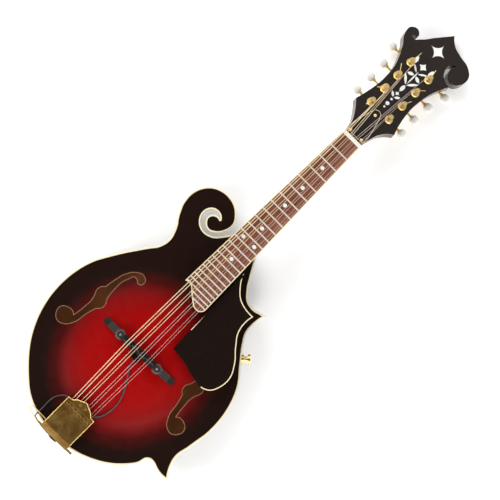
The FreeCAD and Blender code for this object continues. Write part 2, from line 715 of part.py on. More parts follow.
# --- tuners ------------------------------------------------------------------
def gear():
    """Worm wheel seen along its axis, centred on the origin."""
    corners = []
    pitch = 2 * math.pi / GEAR_TEETH
    for i in range(GEAR_TEETH):
        middle = pitch * i + math.pi / 2
        for radius, half in ((GEAR_ROOT_R, -0.33), (GEAR_TIP_R, -0.17),
                             (GEAR_TIP_R, 0.17), (GEAR_ROOT_R, 0.33)):
            angle = middle + half / radius
            corners.append(Vector(radius * math.cos(angle), radius * math.sin(angle), 0))
    return Part.Face(Part.makePolygon(corners + corners[:1]))


def tuner_post(index):
    """String post with its worm wheel and the cut end of its string."""
    x, y = post_places()[index]
    shaft = Part.makeCylinder(POST_R, POST_HEIGHT + KEY_DEPTH, Vector(0, 0, -KEY_DEPTH))
    wheel = slab(gear(), -KEY_DEPTH - GEAR_WIDTH / 2, -KEY_DEPTH + GEAR_WIDTH / 2)
    head = Part.makeCylinder(2.4, 1.4, Vector(0, 0, -KEY_DEPTH - GEAR_WIDTH / 2 - 1.4))
    length, angle = TAIL_ENDS[index]
    direction = Vector(math.cos(math.radians(angle)), math.sin(math.radians(angle)), 0)
    radius = max(0.3, string_sites()[index][1])
    start = Vector(0, 0, TAIL_HEIGHT)
    tail = rod(start, start + direction * length, radius)
    post = joined([shaft, wheel, head, tail])
    post.translate(Vector(x, y, 0))
    return put(post, HEAD)


def worm():
    """Single-start right-hand worm along +Z, centred on the origin."""
    core = Part.makeCylinder(WORM_CORE_R, WORM_LENGTH, Vector(0, 0, -WORM_LENGTH / 2))
    turns = WORM_LENGTH / WORM_LEAD - 0.8
    height = turns * WORM_LEAD
    path = Part.makeHelix(WORM_LEAD, height, WORM_PITCH_R)
    root = WORM_CORE_R - 0.1
    tooth = Part.makePolygon([
        Vector(root, 0, -0.32), Vector(WORM_TIP_R, 0, -0.13), Vector(WORM_TIP_R, 0, 0.13),
        Vector(root, 0, 0.32), Vector(root, 0, -0.32)])
    thread = Part.Wire(path.Edges).makePipeShell([tooth], True, True)
    thread.translate(Vector(0, 0, -height / 2))
    # A gap of the thread faces the gear's tooth.
    thread.rotate(Vector(0, 0, 0), Vector(0, 0, 1), 90 - 180 * turns)
    return core.fuse(thread)


def tuner_key(index):
    """Worm, shaft and pearl button; the axis runs across the headstock."""
    x, y = post_places()[index]
    reach = KEY_REACH[index % 4]
    screw_part = worm()
    screw_part.rotate(Vector(0, 0, 0), Vector(0, 1, 0), 90)
    screw_part.translate(Vector(POST_X, 0, 0))
    shaft = rod(Vector(KEY_START, 0, 0), Vector(reach + 6, 0, 0), KEY_R)
    collar = rod(Vector(reach - 2.5, 0, 0), Vector(reach, 0, 0), 2.6)
    ball = Part.makeSphere(1.0)
    stretch = Matrix()
    stretch.scale(BUTTON_LENGTH / 2, BUTTON_HEIGHT / 2, BUTTON_THICK / 2)
    button = ball.transformGeometry(stretch)
    button.translate(Vector(reach + BUTTON_LENGTH / 2 - 0.4, 0, 0))
    key = joined([shaft, screw_part, collar, button])
    key.translate(Vector(0, y + KEY_OFFSET, -KEY_DEPTH))
    return put(key if x > 0 else mirrored(key), HEAD)


def tuner_plates():
    """One plate a side behind the headstock, with a pair of ears for each worm."""
    plates = []
    top = -HEAD_THICK
    ear_gap = WORM_LENGTH / 2 + 0.4
    ear = 1.5
    for side in (-1, 1):
        near = POST_FIRST - 8
        far = POST_FIRST + 3 * POST_PITCH + KEY_OFFSET + 6
        plate = box(POST_X - 7, POST_X + 7, near, far, top - TUNER_PLATE, top)
        parts = [plate]
        for i in range(4):
            y = POST_FIRST + i * POST_PITCH + KEY_OFFSET
            for x in (POST_X - ear_gap - ear, POST_X + ear_gap):
                parts.append(box(x, x + ear, y - 3, y + 3, -KEY_DEPTH - 3, top - TUNER_PLATE / 2))
        body = joined(parts)
        cuts = []
        for i in range(4):
            y = POST_FIRST + i * POST_PITCH
            cuts.append(rod(Vector(POST_X, y, -30), Vector(POST_X, y, 0), POST_R + RUN_CLEAR))
            axis_y = y + KEY_OFFSET
            cuts.append(rod(Vector(5, axis_y, -KEY_DEPTH), Vector(25, axis_y, -KEY_DEPTH),
                            KEY_R + RUN_CLEAR))
        for x, y in plate_screw_places():
            cuts.append(rod(Vector(x, y, -30), Vector(x, y, 0), 0.9))
        body = without(body, cuts)
        plates.append(body if side > 0 else mirrored(body))
    return put(group(plates), HEAD)


def plate_screw_places():
    places = [(POST_X, POST_FIRST - 5.8)]
    for i in range(3):
        places.append((POST_X, POST_FIRST + i * POST_PITCH + 14.5))
    places.append((POST_X, POST_FIRST + 3 * POST_PITCH + KEY_OFFSET + 4.4))
    return places


def tuner_screws():
    screws = []
    for side in (-1, 1):
        for x, y in plate_screw_places():
            item = screw(0, 0, 0, 1.6, TUNER_PLATE)
            item.rotate(Vector(0, 0, 0), Vector(0, 1, 0), 180)
            item.translate(Vector(side * x, y, -HEAD_THICK - TUNER_PLATE))
            screws.append(item)
    return put(group(screws), HEAD)


def tuner_bushings():
    """Flanged sleeves that guide the posts at the headstock face."""
    sleeves = []
    for x, y in post_places():
        sleeve = rod(Vector(x, y, -8), Vector(x, y, BUSHING_HEIGHT * 0.5), BUSHING_R - 1)
        flange = Part.makeCone(BUSHING_R, BUSHING_R - 1, BUSHING_HEIGHT, Vector(x, y, 0))
        bore = rod(Vector(x, y, -9), Vector(x, y, 5), POST_R + RUN_CLEAR)
        sleeves.append(sleeve.fuse(flange).cut(bore))
    return put(group(sleeves), HEAD)


# --- strings -----------------------------------------------------------------
def coil(radius, top):
    """String wound down a bass-side post from its inner side, eight-sided in section."""
    turn_r = POST_R + RUN_CLEAR + radius
    height = COIL_TURNS * COIL_PITCH
    path = Part.makeHelix(COIL_PITCH, height, turn_r)
    corners = [Vector(turn_r + radius * math.cos(math.radians(a)), 0,
                      radius * math.sin(math.radians(a))) for a in range(0, 361, 45)]
    section = Part.makePolygon(corners)
    wound = Part.Wire(path.Edges).makePipeShell([section], True, True)
    wound = wound.mirror(Vector(0, 0, 0), Vector(0, 0, 1))
    wound.translate(Vector(0, 0, top))
    return wound


def saddle_contact(at_bridge, radius):
    """Centre of a string where it crosses the saddle."""
    ridge = ridge_offset(at_bridge)
    return BRIDGE.multVec(Vector(at_bridge, ridge, SADDLE_TOP + TOUCH + radius))


def ridge_offset(at_bridge):
    """Intonation step of the saddle for a course."""
    steps = ((-11, -1.2), (0, 0.9), (11, -0.5), (99, 1.1))
    for limit, step in steps:
        if at_bridge < limit:
            return step


def one_string(index):
    """A string from its hook over saddle and nut to the windings on its post."""
    node, radius, at_bridge, at_tail, at_nut = string_sites()[index]
    side = 1 if at_nut > 0 else -1
    # The inner pair of each side goes to the far posts.
    order = index if side < 0 else 7 - index
    top = COIL_TOP[order]
    post_y = POST_FIRST + order * POST_PITCH
    turn_r = POST_R + RUN_CLEAR + radius
    line = [Vector(at_tail, HOOK_Y, HOOK_Z), saddle_contact(at_bridge, radius),
            NECK.multVec(Vector(at_nut, NUT_BACK, NUT_STRING + radius)),
            HEAD.multVec(Vector(side * (POST_X - turn_r), post_y, top))]
    path = Part.makePolygon(line)
    section = Part.Circle(line[0], line[1] - line[0], radius).toShape()
    string = path.makePipeShell([Part.Wire([section])], True, False, 1)
    wound = coil(radius, top)
    wound.translate(Vector(-POST_X, post_y, 0))
    if side > 0:
        wound = mirrored(wound)
    return [string, put(wound, HEAD)]


def strings(wanted):
    pieces = []
    for index, site in enumerate(string_sites()):
        if site[0] == wanted:
            pieces += one_string(index)
    return group(pieces)


# --- bridge, in bridge coordinates -------------------------------------------
def bar(length, width, bottom, top):
    """Long bar with round ends."""
    half = length / 2 - width / 2
    shapes = [box(-half, half, -width / 2, width / 2, bottom, top)]
    for side in (-1, 1):
        shapes.append(Part.makeCylinder(width / 2, top - bottom, Vector(side * half, 0, bottom)))
    return joined(shapes)


def post_bores(radius, low, high):
    return [rod(Vector(s * BRIDGE_POST_X, 0, low), Vector(s * BRIDGE_POST_X, 0, high), radius)
            for s in (-1, 1)]


def bridge_base():
    """Foot fitted to the arched top, thick between the posts, thin at its ends."""
    top = BRIDGE_TOP
    half = BRIDGE_LENGTH / 2
    corners = [(-half, 0), (half, 0), (half, 11.4), (half - 8, 12.6), (37, top - 2.6),
               (33, top), (-33, top), (-37, top - 2.6), (-half + 8, 12.6), (-half, 11.4)]
    points = [Vector(x, -BRIDGE_WIDTH, z) for x, z in corners]
    profile = Part.Face(Part.makePolygon(points + points[:1]))
    profile = profile.extrude(Vector(0, 2 * BRIDGE_WIDTH, 0))
    foot = profile.common(bar(BRIDGE_LENGTH, BRIDGE_WIDTH, 0, top + 1))
    foot = without(foot, post_bores(BRIDGE_POST_R, BRIDGE_TOP - 5, top + 1))
    return put(foot, BRIDGE).cut(arched(ARCH_TOP, 0, 0, -2))


def bridge_posts():
    posts = post_bores(BRIDGE_POST_R, BRIDGE_TOP - 5, SADDLE_BOTTOM + 3.4)
    return put(group(posts), BRIDGE)


def bridge_saddle():
    """Height-adjustable saddle, compensated in four steps."""
    bar_top = SADDLE_TOP - 2.6
    block = bar(SADDLE_LENGTH, SADDLE_WIDTH, SADDLE_BOTTOM, bar_top)
    ridges = []
    for x0, x1 in ((-24, -11), (-11, 0), (0, 11), (11, 24)):
        y = ridge_offset(0.5 * (x0 + x1))
        ridges.append(side_profile([(y - 1.6, bar_top - 1), (y + 1.6, bar_top - 1),
                                    (y + 1.3, SADDLE_TOP - 0.5), (y, SADDLE_TOP),
                                    (y - 1.3, SADDLE_TOP - 0.5)], x0, x1))
    saddle = joined([block] + ridges)
    for side in (-1, 1):
        slope = box(0, 14, -6, 6, 0, 6)
        slope.rotate(Vector(0, 0, 0), Vector(0, 1, 0), 11)
        slope.translate(Vector(24.5, 0, bar_top))
        saddle = saddle.cut(slope if side > 0 else mirrored(slope))
    bores = post_bores(BRIDGE_POST_R + 0.08, SADDLE_BOTTOM - 1, SADDLE_BOTTOM + 5.2)
    tops = SADDLE_BOTTOM + 5.2
    saddle = without(saddle, [bore.common(box(-60, 60, -9, 9, 0, tops)) for bore in bores])
    return put(saddle, BRIDGE)


def thumbwheel(side):
    """Knurled wheel on the bridge post, under the saddle."""
    z = SADDLE_BOTTOM - TOUCH - WHEEL_THICK
    x = side * BRIDGE_POST_X
    wheel = Part.makeCylinder(WHEEL_R, WHEEL_THICK, Vector(x, 0, z))
    notches = []
    for i in range(24):
        angle = math.radians(15 * i)
        place = Vector(x + (WHEEL_R + 0.25) * math.cos(angle), (WHEEL_R + 0.25) * math.sin(angle), z)
        notches.append(Part.makeCylinder(0.55, WHEEL_THICK, place))
    bore = rod(Vector(x, 0, z - 1), Vector(x, 0, z + 9), BRIDGE_POST_R + RUN_CLEAR)
    return put(without(wheel, [bore]).cut(notches), BRIDGE)


def pickup():
    """Contact pickup in a small case against the bridge foot."""
    case = box(-4.5, 8.5, BRIDGE_Y - BRIDGE_WIDTH / 2 - 6.4, BRIDGE_Y, 10, 17.2)
    foot = put(bar(BRIDGE_LENGTH, BRIDGE_WIDTH + 0.3, 0, 40), BRIDGE)
    return case.cut(foot).cut(arched(ARCH_TOP, 0, 0, -2))


# --- pickguard ---------------------------------------------------------------
def guard_face():
    return outline([GUARD_OUTER, GUARD_SIDE, GUARD_LOWER, GUARD_INNER])


def guard_binding_zone():
    """The fingerboard side and the lower edge are left without binding."""
    face = guard_face()
    ring = face.cut(inset(face, GUARD_BINDING))
    zone = slab(ring, -GUARD_DROP - GUARD_THICK, -GUARD_DROP)
    zone = zone.cut(box(0, 81, 0, 60, -40, 0))
    return zone.cut(box(0, 25, 0, 149, -40, 0))


def pickguard():
    whole = slab(guard_face(), -GUARD_DROP - GUARD_THICK, -GUARD_DROP)
    return put(whole.cut(guard_binding_zone()), NECK)


def pickguard_binding():
    return put(guard_binding_zone(), NECK)


def pickguard_bracket():
    """Two pillars from the top to the guard, and a pin into the neck's riser."""
    pillars = []
    for x, y in ((84, 46), (58, 112)):
        pillars.append(Part.makeCylinder(3.5, 60, Vector(x, y, -PLATE)))
    room = put(box(0, 130, 0, 200, -60, -GUARD_DROP - GUARD_THICK), NECK)
    ground = arched(ARCH_TOP, 0, 0, -PLATE - 1)
    posts = [pillar.common(room).cut(ground) for pillar in pillars]
    start = ARCH_Y + ARCH_HALF_LENGTH + 20
    z = NECK.multVec(Vector(0, start, -GUARD_DROP - GUARD_THICK)).z - 1.5
    pin = rod(Vector(18.4, start, z), Vector(30, start, z), 1.2)
    return group(posts + [pin])


# --- tail and small fittings ---------------------------------------------------
def tailpiece_base():
    """Bracket over the tail edge with a hook for each string."""
    top = TAIL_BASE_Z + TAIL_BASE
    shelf = box(-19.7, 19.7, TAIL_Y - 1.2, TAIL_Y + 31, TAIL_BASE_Z, top)
    leg = box(-14, 14, TAIL_Y - 1.2, TAIL_Y, -BODY_DEPTH + 4.5, top)
    foot = box(-29, 29, TAIL_Y - 3.6, TAIL_Y - 1.2, -6, -2.5)
    parts = [shelf, leg, foot]
    for node, radius, at_bridge, at_tail, at_nut in string_sites():
        parts.append(rod(Vector(at_tail, HOOK_Y - 1.1, top - 0.5),
                         Vector(at_tail, HOOK_Y - 1.1, HOOK_Z + 1.4), 1.0))
    bracket = joined(parts)
    cuts = [jack_hole()]
    for x, z in tail_screw_places():
        cuts.append(rod(Vector(x, TAIL_Y - 9, z), Vector(x, TAIL_Y + 3, z), 1.0))
    return without(bracket, cuts)


def tail_screw_places():
    low = -BODY_DEPTH + 9.0
    return [(0, low), (-9.5, low + 2.5), (9.5, low + 2.5)]


def tailpiece_screws():
    screws = []
    for x, z in tail_screw_places():
        item = screw(0, 0, 0, 2.2, 1.2)
        item.rotate(Vector(0, 0, 0), Vector(1, 0, 0), 90)
        item.translate(Vector(x, TAIL_Y - 1.2, z))
        screws.append(item)
    return group(screws)


def cover_plan(margin):
    """Plan of the cover with its curled front edge."""
    tail = TAIL_Y - 3.0 + margin
    front = TAIL_Y + COVER_RUN
    half = COVER_HALF - margin
    lip = front - 9.5
    right = [(half, lip), (15, front - 8.6), (11, front - 5), (6, front - 2.6), (0, front)]
    left = [(-x, y) for x, y in right]
    return outline([right, left[::-1], [(-half, lip), (-half, tail)],
                    [(-half, tail), (half, tail)], [(half, tail), (half, lip)]])


def tailpiece_cover():
    """Stamped cover, open below and at its front."""
    tail = TAIL_Y - 3.0
    front = TAIL_Y + COVER_RUN
    w = COVER_WALL
    outer = side_profile([(tail, 1), (tail, 8), (tail + 3, 11), (tail + 8, 12.5),
                          (front, 18), (front, 10.5), (TAIL_Y + 34, 4.2)], -30, 30)
    room = side_profile([(tail + w, -5), (tail + w, 8 - w / 2), (tail + 3, 11 - w),
                         (tail + 8, 12.5 - w), (front + 5, 18.6 - w), (front + 5, -5)], -30, 30)
    hollow = box(-COVER_HALF + w, COVER_HALF - w, tail + w, front + 5, -5, 30)
    shell = outer.common(slab(cover_plan(0), 0, 40))
    return shell.cut(room.common(hollow))


def output_jack():
    """End-pin jack: threaded tube through the tail block, collar and nut."""
    start = TAIL_Y + JACK_DEPTH
    face = TAIL_Y - 1.2
    tube = rod(Vector(0, start, JACK_Z), Vector(0, face - 6.5, JACK_Z), 4.95)
    collar = rod(Vector(0, face, JACK_Z), Vector(0, face - 2.4, JACK_Z), 10.0)
    ring = rod(Vector(0, face, JACK_Z), Vector(0, face - 6.5, JACK_Z), 6.0)
    bore = rod(Vector(0, start - 2, JACK_Z), Vector(0, face - 10, JACK_Z), JACK_BORE_R)
    return joined([tube, collar, ring]).cut(bore)


def strap_button(face):
    """Turned button on the treble side, screwed to the rim."""
    start = Vector(92 * X_FIT, 75.5 * Y_FIT, -20)
    out = Vector(0.77, 0.64, 0)
    stem = rod(start, start + out * 9.5, 3.4)
    foot = rod(start, start + out * 3.2, 5.4)
    head = rod(start + out * 8, start + out * 11.2, 6.4)
    button = joined([stem, foot, head])
    return button.cut(slab(face, -BODY_DEPTH, 0))


def cable_guide():
    """Wire hairpin over the lead, standing on the foot of the tailpiece."""
    shapes = []
    for first, second in zip(GUIDE_ROUTE, GUIDE_ROUTE[1:]):
        shapes.append(rod(Vector(*first), Vector(*second), GUIDE_R))
        shapes.append(Part.makeSphere(GUIDE_R, Vector(*second)))
    return joined(shapes)


def pickup_cable():
    """Tube of straight runs and tangent arcs along the route."""
    points = [Vector(*place) for place in CABLE_ROUTE]
    edges = []
    start = points[0]
    for before, corner, after in zip(points, points[1:], points[2:]):
        back = before - corner
        ahead = after - corner
        short = min(back.Length, ahead.Length)
        back = back * (1 / back.Length)
        ahead = ahead * (1 / ahead.Length)
        half_turn = 0.5 * (math.pi - back.getAngle(ahead))
        trim = 0.45 * short
        radius = trim / math.tan(half_turn)
        bisector = back + ahead
        bisector = bisector * (1 / bisector.Length)
        middle = corner + bisector * (radius / math.cos(half_turn) - radius)
        enter = corner + back * trim
        leave = corner + ahead * trim
        edges.append(Part.LineSegment(start, enter).toShape())
        edges.append(Part.Arc(enter, middle, leave).toShape())
        print("cable radius", round(radius, 1), "turn", round(2 * math.degrees(half_turn)))
        start = leave
    edges.append(Part.LineSegment(start, points[-1]).toShape())
    path = Part.Wire(edges)
    first = points[1] - points[0]
    section = Part.Wire([Part.Circle(points[0], first, CABLE_R).toShape()])
    tube = path.makePipeShell([section], True, True)
    print("cable length", round(path.Length, 1), "volume share",
          round(tube.Volume / (math.pi * CABLE_R ** 2 * path.Length), 4))
    return tube


# --- the whole instrument ------------------------------------------------------
def build_nodes():
    face = body_face()
    holes = sound_hole_faces()
    dots = position_dots()
    inlay = headstock_inlay()
    bass_side = rim(face, -1)
    nodes = {
        "top_plate": top_plate(face, holes),
        "back_plate": back_plate(face),
        "rim_bass": group(bass_side[:-1]),
        "rim_scroll": bass_side[-1],
        "rim_treble": group(rim(face, 1)),
        "end_blocks": end_blocks(face),
        "linings": linings(face),
        "tone_bars": tone_bars(),
        "top_binding": edge_binding(face, -PLATE),
        "back_binding": edge_binding(face, -BODY_DEPTH),
        "soundhole_binding": soundhole_binding(holes),
        "neck": neck(face),
        "fingerboard": put(fingerboard(dots), NECK),
        "fingerboard_binding": put(fingerboard_binding(), NECK),
        "frets": put(frets(), NECK),
        "position_dots": put(dots, NECK),
        "nut": put(nut(), NECK),
        "headstock_overlay": put(headstock_overlay(inlay), HEAD),
        "headstock_inlay": put(inlay, HEAD),
        "truss_rod": truss_rod(),
        "truss_rod_nut": truss_rod_nut(),
        "truss_rod_cover": put(truss_rod_cover(), HEAD),
        "tuner_plates": tuner_plates(),
        "small_screws": group(put(truss_cover_screws(), HEAD).Solids
                              + tuner_screws().Solids + tailpiece_screws().Solids),
        "tuner_bushings": tuner_bushings(),
        "bridge_base": bridge_base(),
        "bridge_posts": bridge_posts(),
        "bridge_saddle": bridge_saddle(),
        "thumbwheel_bass": thumbwheel(-1),
        "thumbwheel_treble": thumbwheel(1),
        "pickup": pickup(),
        "pickup_cable": pickup_cable(),
        "cable_guide": cable_guide(),
        "pickguard": pickguard(),
        "pickguard_binding": pickguard_binding(),
        "pickguard_bracket": pickguard_bracket(),
        "tailpiece_base": tailpiece_base(),
        "tailpiece_cover": tailpiece_cover(),
        "output_jack": output_jack(),
        "strap_button": strap_button(face),
    }
    for name in STRINGS:
        nodes[name] = strings(name)
    for index in range(8):
        nodes["tuner_post_%d" % (index + 1)] = tuner_post(index)
        nodes["tuner_key_%d" % (index + 1)] = tuner_key(index)
    return nodes


def extent_at(shape, pitch):
    """Box round a shape once the instrument is pitched about X."""
    turned = put(shape, Placement(Vector(), Rotation(Vector(1, 0, 0), pitch)))
    return turned.optimalBoundingBox(False)


def resting_pitch(back, head):
    """Pitch at which the arched back and the headstock both touch the ground."""
    pitch = 0.0
    for step in range(6):
        under = extent_at(back, pitch)
        tip = extent_at(head, pitch)
        lever = tip.YMax - under.Center.y
        pitch += math.degrees((under.ZMin - tip.ZMin) / lever)
    return pitch


def laid_down(nodes):
    """Row frame: on its back, centred, with the ground at Z = 0."""
    pitch = resting_pitch(nodes["back_plate"], nodes["neck"])
    lying = Placement(Vector(), Rotation(Vector(1, 0, 0), pitch))
    lows = [float("inf")] * 3
    highs = [float("-inf")] * 3
    for name, shape in nodes.items():
        if name == "pickup_cable":
            continue
        extent = put(shape, lying).optimalBoundingBox(False)
        lows = [min(a, b) for a, b in zip(lows, (extent.XMin, extent.YMin, extent.ZMin))]
        highs = [max(a, b) for a, b in zip(highs, (extent.XMax, extent.YMax, extent.ZMax))]
    shift = Vector(-0.5 * (lows[0] + highs[0]), -0.5 * (lows[1] + highs[1]), -lows[2])
    print("rest pitch", round(pitch, 6), "shift", [round(v, 5) for v in shift])
    print("size", [round(b - a, 2) for a, b in zip(lows, highs)])
    return Placement(shift, Rotation(Vector(1, 0, 0), pitch))


def main():
    nodes = build_nodes()
    ground = laid_down(nodes)
    os.makedirs("parts", exist_ok=True)
    for name, shape in nodes.items():
        put(shape, ground).exportStep("parts/%s.step" % name)


main()
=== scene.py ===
"""Looks of the F-style mandolin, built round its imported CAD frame.

Lengths given as plain numbers are millimetres in one of the instrument's own
frames (body, headstock) and pass through place() or head(); Blender units are metres.
"""
import json
import math

import bmesh
import bpy
from mathutils import Matrix, Vector


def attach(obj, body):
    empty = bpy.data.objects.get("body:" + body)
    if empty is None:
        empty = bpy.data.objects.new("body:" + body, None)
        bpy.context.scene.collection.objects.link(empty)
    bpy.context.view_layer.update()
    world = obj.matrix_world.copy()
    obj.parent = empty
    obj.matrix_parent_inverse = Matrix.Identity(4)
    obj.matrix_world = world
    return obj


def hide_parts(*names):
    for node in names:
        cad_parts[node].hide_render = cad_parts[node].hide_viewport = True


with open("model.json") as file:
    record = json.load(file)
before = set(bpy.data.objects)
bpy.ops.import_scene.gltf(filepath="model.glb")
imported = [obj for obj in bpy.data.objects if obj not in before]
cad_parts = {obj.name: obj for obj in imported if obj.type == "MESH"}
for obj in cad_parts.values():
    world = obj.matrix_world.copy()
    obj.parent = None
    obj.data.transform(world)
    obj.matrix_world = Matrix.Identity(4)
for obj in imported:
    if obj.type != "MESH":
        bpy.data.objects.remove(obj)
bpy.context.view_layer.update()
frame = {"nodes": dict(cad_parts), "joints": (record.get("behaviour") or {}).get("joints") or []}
nodes = frame["nodes"]
joints = {joint["name"]: joint for joint in frame["joints"]}
MM = 0.001

# --- instrument frames, read from the joints ---------------------------------
NORMAL = Vector(joints["saddle_lift"]["axis"])
PITCH = math.atan2(-NORMAL.y, NORMAL.z)
BODY_TURN = Matrix.Rotation(PITCH, 3, "X")
WHEEL_MIDDLE = (Vector(joints["wheel_bass_turn"]["pos_m"])
                + Vector(joints["wheel_treble_turn"]["pos_m"])) / 2
BRIDGE_Y = -2.2
WHEEL_Z = 23.4
ORIGIN = WHEEL_MIDDLE - BODY_TURN @ Vector((0, BRIDGE_Y, WHEEL_Z)) * MM

POST_X = 15.0
POST_FIRST = 49.0
POST_PITCH = 24.2
HEAD_UP = Vector(joints["post_1_turn"]["axis"])
HEAD_ALONG = HEAD_UP.cross(Vector((1, 0, 0)))
HEAD_TURN = Matrix((Vector((1, 0, 0)), HEAD_ALONG, HEAD_UP)).transposed()
HEAD_ORIGIN = ((Vector(joints["post_1_turn"]["pos_m"])
                + Vector(joints["post_5_turn"]["pos_m"])) / 2
               - HEAD_ALONG * POST_FIRST * MM)


def place(x, y, z):
    """Body millimetres (origin at the bridge, z = 0 at the rim edge) to the row frame."""
    return ORIGIN + BODY_TURN @ Vector((x, y, z)) * MM


def head(x, y, z):
    """Headstock millimetres (origin behind the nut, z = 0 at its face) to the row frame."""
    return HEAD_ORIGIN + HEAD_TURN @ Vector((x, y, z)) * MM


# --- mesh helpers ------------------------------------------------------------
def mesh_object(name, verts, faces, merge=0.0):
    """Smooth-shaded mesh; points closer than merge (metres) become one."""
    mesh = bpy.data.meshes.new(name)
    mesh.from_pydata([tuple(v) for v in verts], [], faces)
    shape = bmesh.new()
    shape.from_mesh(mesh)
    if merge:
        bmesh.ops.remove_doubles(shape, verts=shape.verts, dist=merge)
    bmesh.ops.recalc_face_normals(shape, faces=shape.faces)
    shape.to_mesh(mesh)
    shape.free()
    for face in mesh.polygons:
        face.use_smooth = True
    piece = bpy.data.objects.new(name, mesh)
    bpy.context.scene.collection.objects.link(piece)
    return piece


def tube(name, points, radius, sides):
    """Round tube along a line of points, with closed ends."""
    points = [Vector(p) for p in points]
    verts = []
    faces = []
    tangent = (points[1] - points[0]).normalized()
    side = tangent.orthogonal().normalized()
    for i, point in enumerate(points):
        after = points[min(i + 1, len(points) - 1)]
        before = points[max(i - 1, 0)]
        tangent = (after - before).normalized()
        side = (side - tangent * side.dot(tangent)).normalized()
        other = tangent.cross(side)
        for k in range(sides):
            angle = 2 * math.pi * k / sides
            offset = side * math.cos(angle) + other * math.sin(angle)
            verts.append(point + offset * radius)
    for i in range(len(points) - 1):
        for k in range(sides):
            a = i * sides + k
            b = i * sides + (k + 1) % sides
            faces.append((a, b, b + sides, a + sides))
    faces.append(tuple(range(sides)))
    faces.append(tuple(range((len(points) - 1) * sides, len(points) * sides)))
    return mesh_object(name, verts, faces)


def smooth_line(points, steps):
    """Catmull-Rom curve through the given points, as a line of short steps."""
    points = [Vector(p) for p in points]
    full = [points[0] * 2 - points[1]] + points + [points[-1] * 2 - points[-2]]
    line = []
    for i in range(1, len(full) - 2):
        a, b, c, d = full[i - 1:i + 3]
        for step in range(steps):
            t = step / steps
            line.append(0.5 * (2 * b + (c - a) * t + (2 * a - 5 * b + 4 * c - d) * t * t
                               + (3 * b - a - 3 * c + d) * t ** 3))
    return line + [points[-1]]


def finish_piece(piece, body, slot, material, *replaced):
    """Give a new piece its material, its body and the CAD nodes it stands for."""
    piece.data.materials.clear()
    piece.data.materials.append(material)
    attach(piece, body)
    if replaced:
        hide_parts(*replaced)
    return piece


# --- material helpers ----------------------------------------------------------
class Net:
    """A material's node tree with short calls for the nodes used here."""

    def __init__(self, name, **values):
        self.material = bpy.data.materials.new(name)
        self.material.use_nodes = True
        self.tree = self.material.node_tree
        self.shader = self.tree.nodes["Principled BSDF"]
        self.coords = self.add("ShaderNodeTexCoord").outputs["Object"]
        for key, value in values.items():
            self.shader.inputs[key.replace("_", " ")].default_value = value

    def add(self, kind, **settings):
        node = self.tree.nodes.new(kind)
        for key, value in settings.items():
            setattr(node, key, value)
        return node

    def link(self, output, socket):
        self.tree.links.new(output, socket)

    def feed(self, node, **inputs):
        for key, value in inputs.items():
            socket = node.inputs[key.replace("_", " ")]
            if isinstance(value, bpy.types.NodeSocket):
                self.link(value, socket)
            else:
                socket.default_value = value
        return node

    def local(self, origin, pitch=0.0, stretch=(1, 1, 1)):
        """Coordinates in a frame with its own origin and pitch, then stretched."""
        turn = self.add("ShaderNodeMapping", vector_type="TEXTURE")
        self.feed(turn, Vector=self.coords, Location=tuple(origin), Rotation=(pitch, 0, 0))
        scaled = self.add("ShaderNodeMapping")
        self.feed(scaled, Vector=turn.outputs[0], Scale=tuple(stretch))
        return scaled.outputs[0]

    def noise(self, vector, scale, detail=3.0, rough=0.55, distort=0.0):
        node = self.add("ShaderNodeTexNoise")
        self.feed(node, Vector=vector, Scale=scale, Detail=detail, Roughness=rough,
                  Distortion=distort)
        return node.outputs["Fac"]

    def wave(self, vector, scale, direction="X", distort=0.0, detail=2.0, detail_scale=1.0):
        node = self.add("ShaderNodeTexWave", bands_direction=direction)
        self.feed(node, Vector=vector, Scale=scale, Distortion=distort, Detail=detail)
        node.inputs["Detail Scale"].default_value = detail_scale
        return node.outputs["Fac"]

    def math(self, operation, a, b=0.0):
        node = self.add("ShaderNodeMath", operation=operation)
        for socket, value in zip(node.inputs, (a, b)):
            if isinstance(value, bpy.types.NodeSocket):
                self.link(value, socket)
            else:
                socket.default_value = value
        return node.outputs[0]

    def ramp(self, fac, stops):
        """Colour ramp; each stop is (place, (r, g, b))."""
        node = self.add("ShaderNodeValToRGB")
        elements = node.color_ramp.elements
        while len(elements) < len(stops):
            elements.new(0.5)
        for element, (spot, colour) in zip(elements, stops):
            element.position = spot
            element.color = (*colour, 1)
        self.link(fac, node.inputs["Fac"])
        return node.outputs["Color"]

    def levels(self, fac, low, high, out_low=0.0, out_high=1.0):
        node = self.add("ShaderNodeMapRange")
        self.feed(node, Value=fac)
        for key, value in (("From Min", low), ("From Max", high),
                           ("To Min", out_low), ("To Max", out_high)):
            node.inputs[key].default_value = value
        return node.outputs[0]

    def mix(self, fac, a, b, blend="MIX"):
        node = self.add("ShaderNodeMix", data_type="RGBA", blend_type=blend)
        for socket, value in ((node.inputs[0], fac), (node.inputs[6], a), (node.inputs[7], b)):
            if isinstance(value, bpy.types.NodeSocket):
                self.link(value, socket)
            elif isinstance(value, tuple):
                socket.default_value = (*value, 1)
            else:
                socket.default_value = value
        return node.outputs[2]

    def facing(self, start, end):
        """0 to 1 as the surface's upward direction goes from start to end."""
        geometry = self.add("ShaderNodeNewGeometry")
        parts = self.add("ShaderNodeSeparateXYZ")
        self.link(geometry.outputs["Normal"], parts.inputs[0])
        return self.levels(parts.outputs["Z"], start, end)

    def bump(self, height, strength, distance):
        node = self.add("ShaderNodeBump")
        self.feed(node, Height=height, Strength=strength, Distance=distance)
        self.link(node.outputs["Normal"], self.shader.inputs["Normal"])

    def colour(self, output):
        self.link(output, self.shader.inputs["Base Color"])

    def rough(self, output):
        self.link(output, self.shader.inputs["Roughness"])


GLOSS = {"Coat_Weight": 0.7, "Coat_Roughness": 0.05, "Roughness": 0.45,
         "Specular_IOR_Level": 0.12}


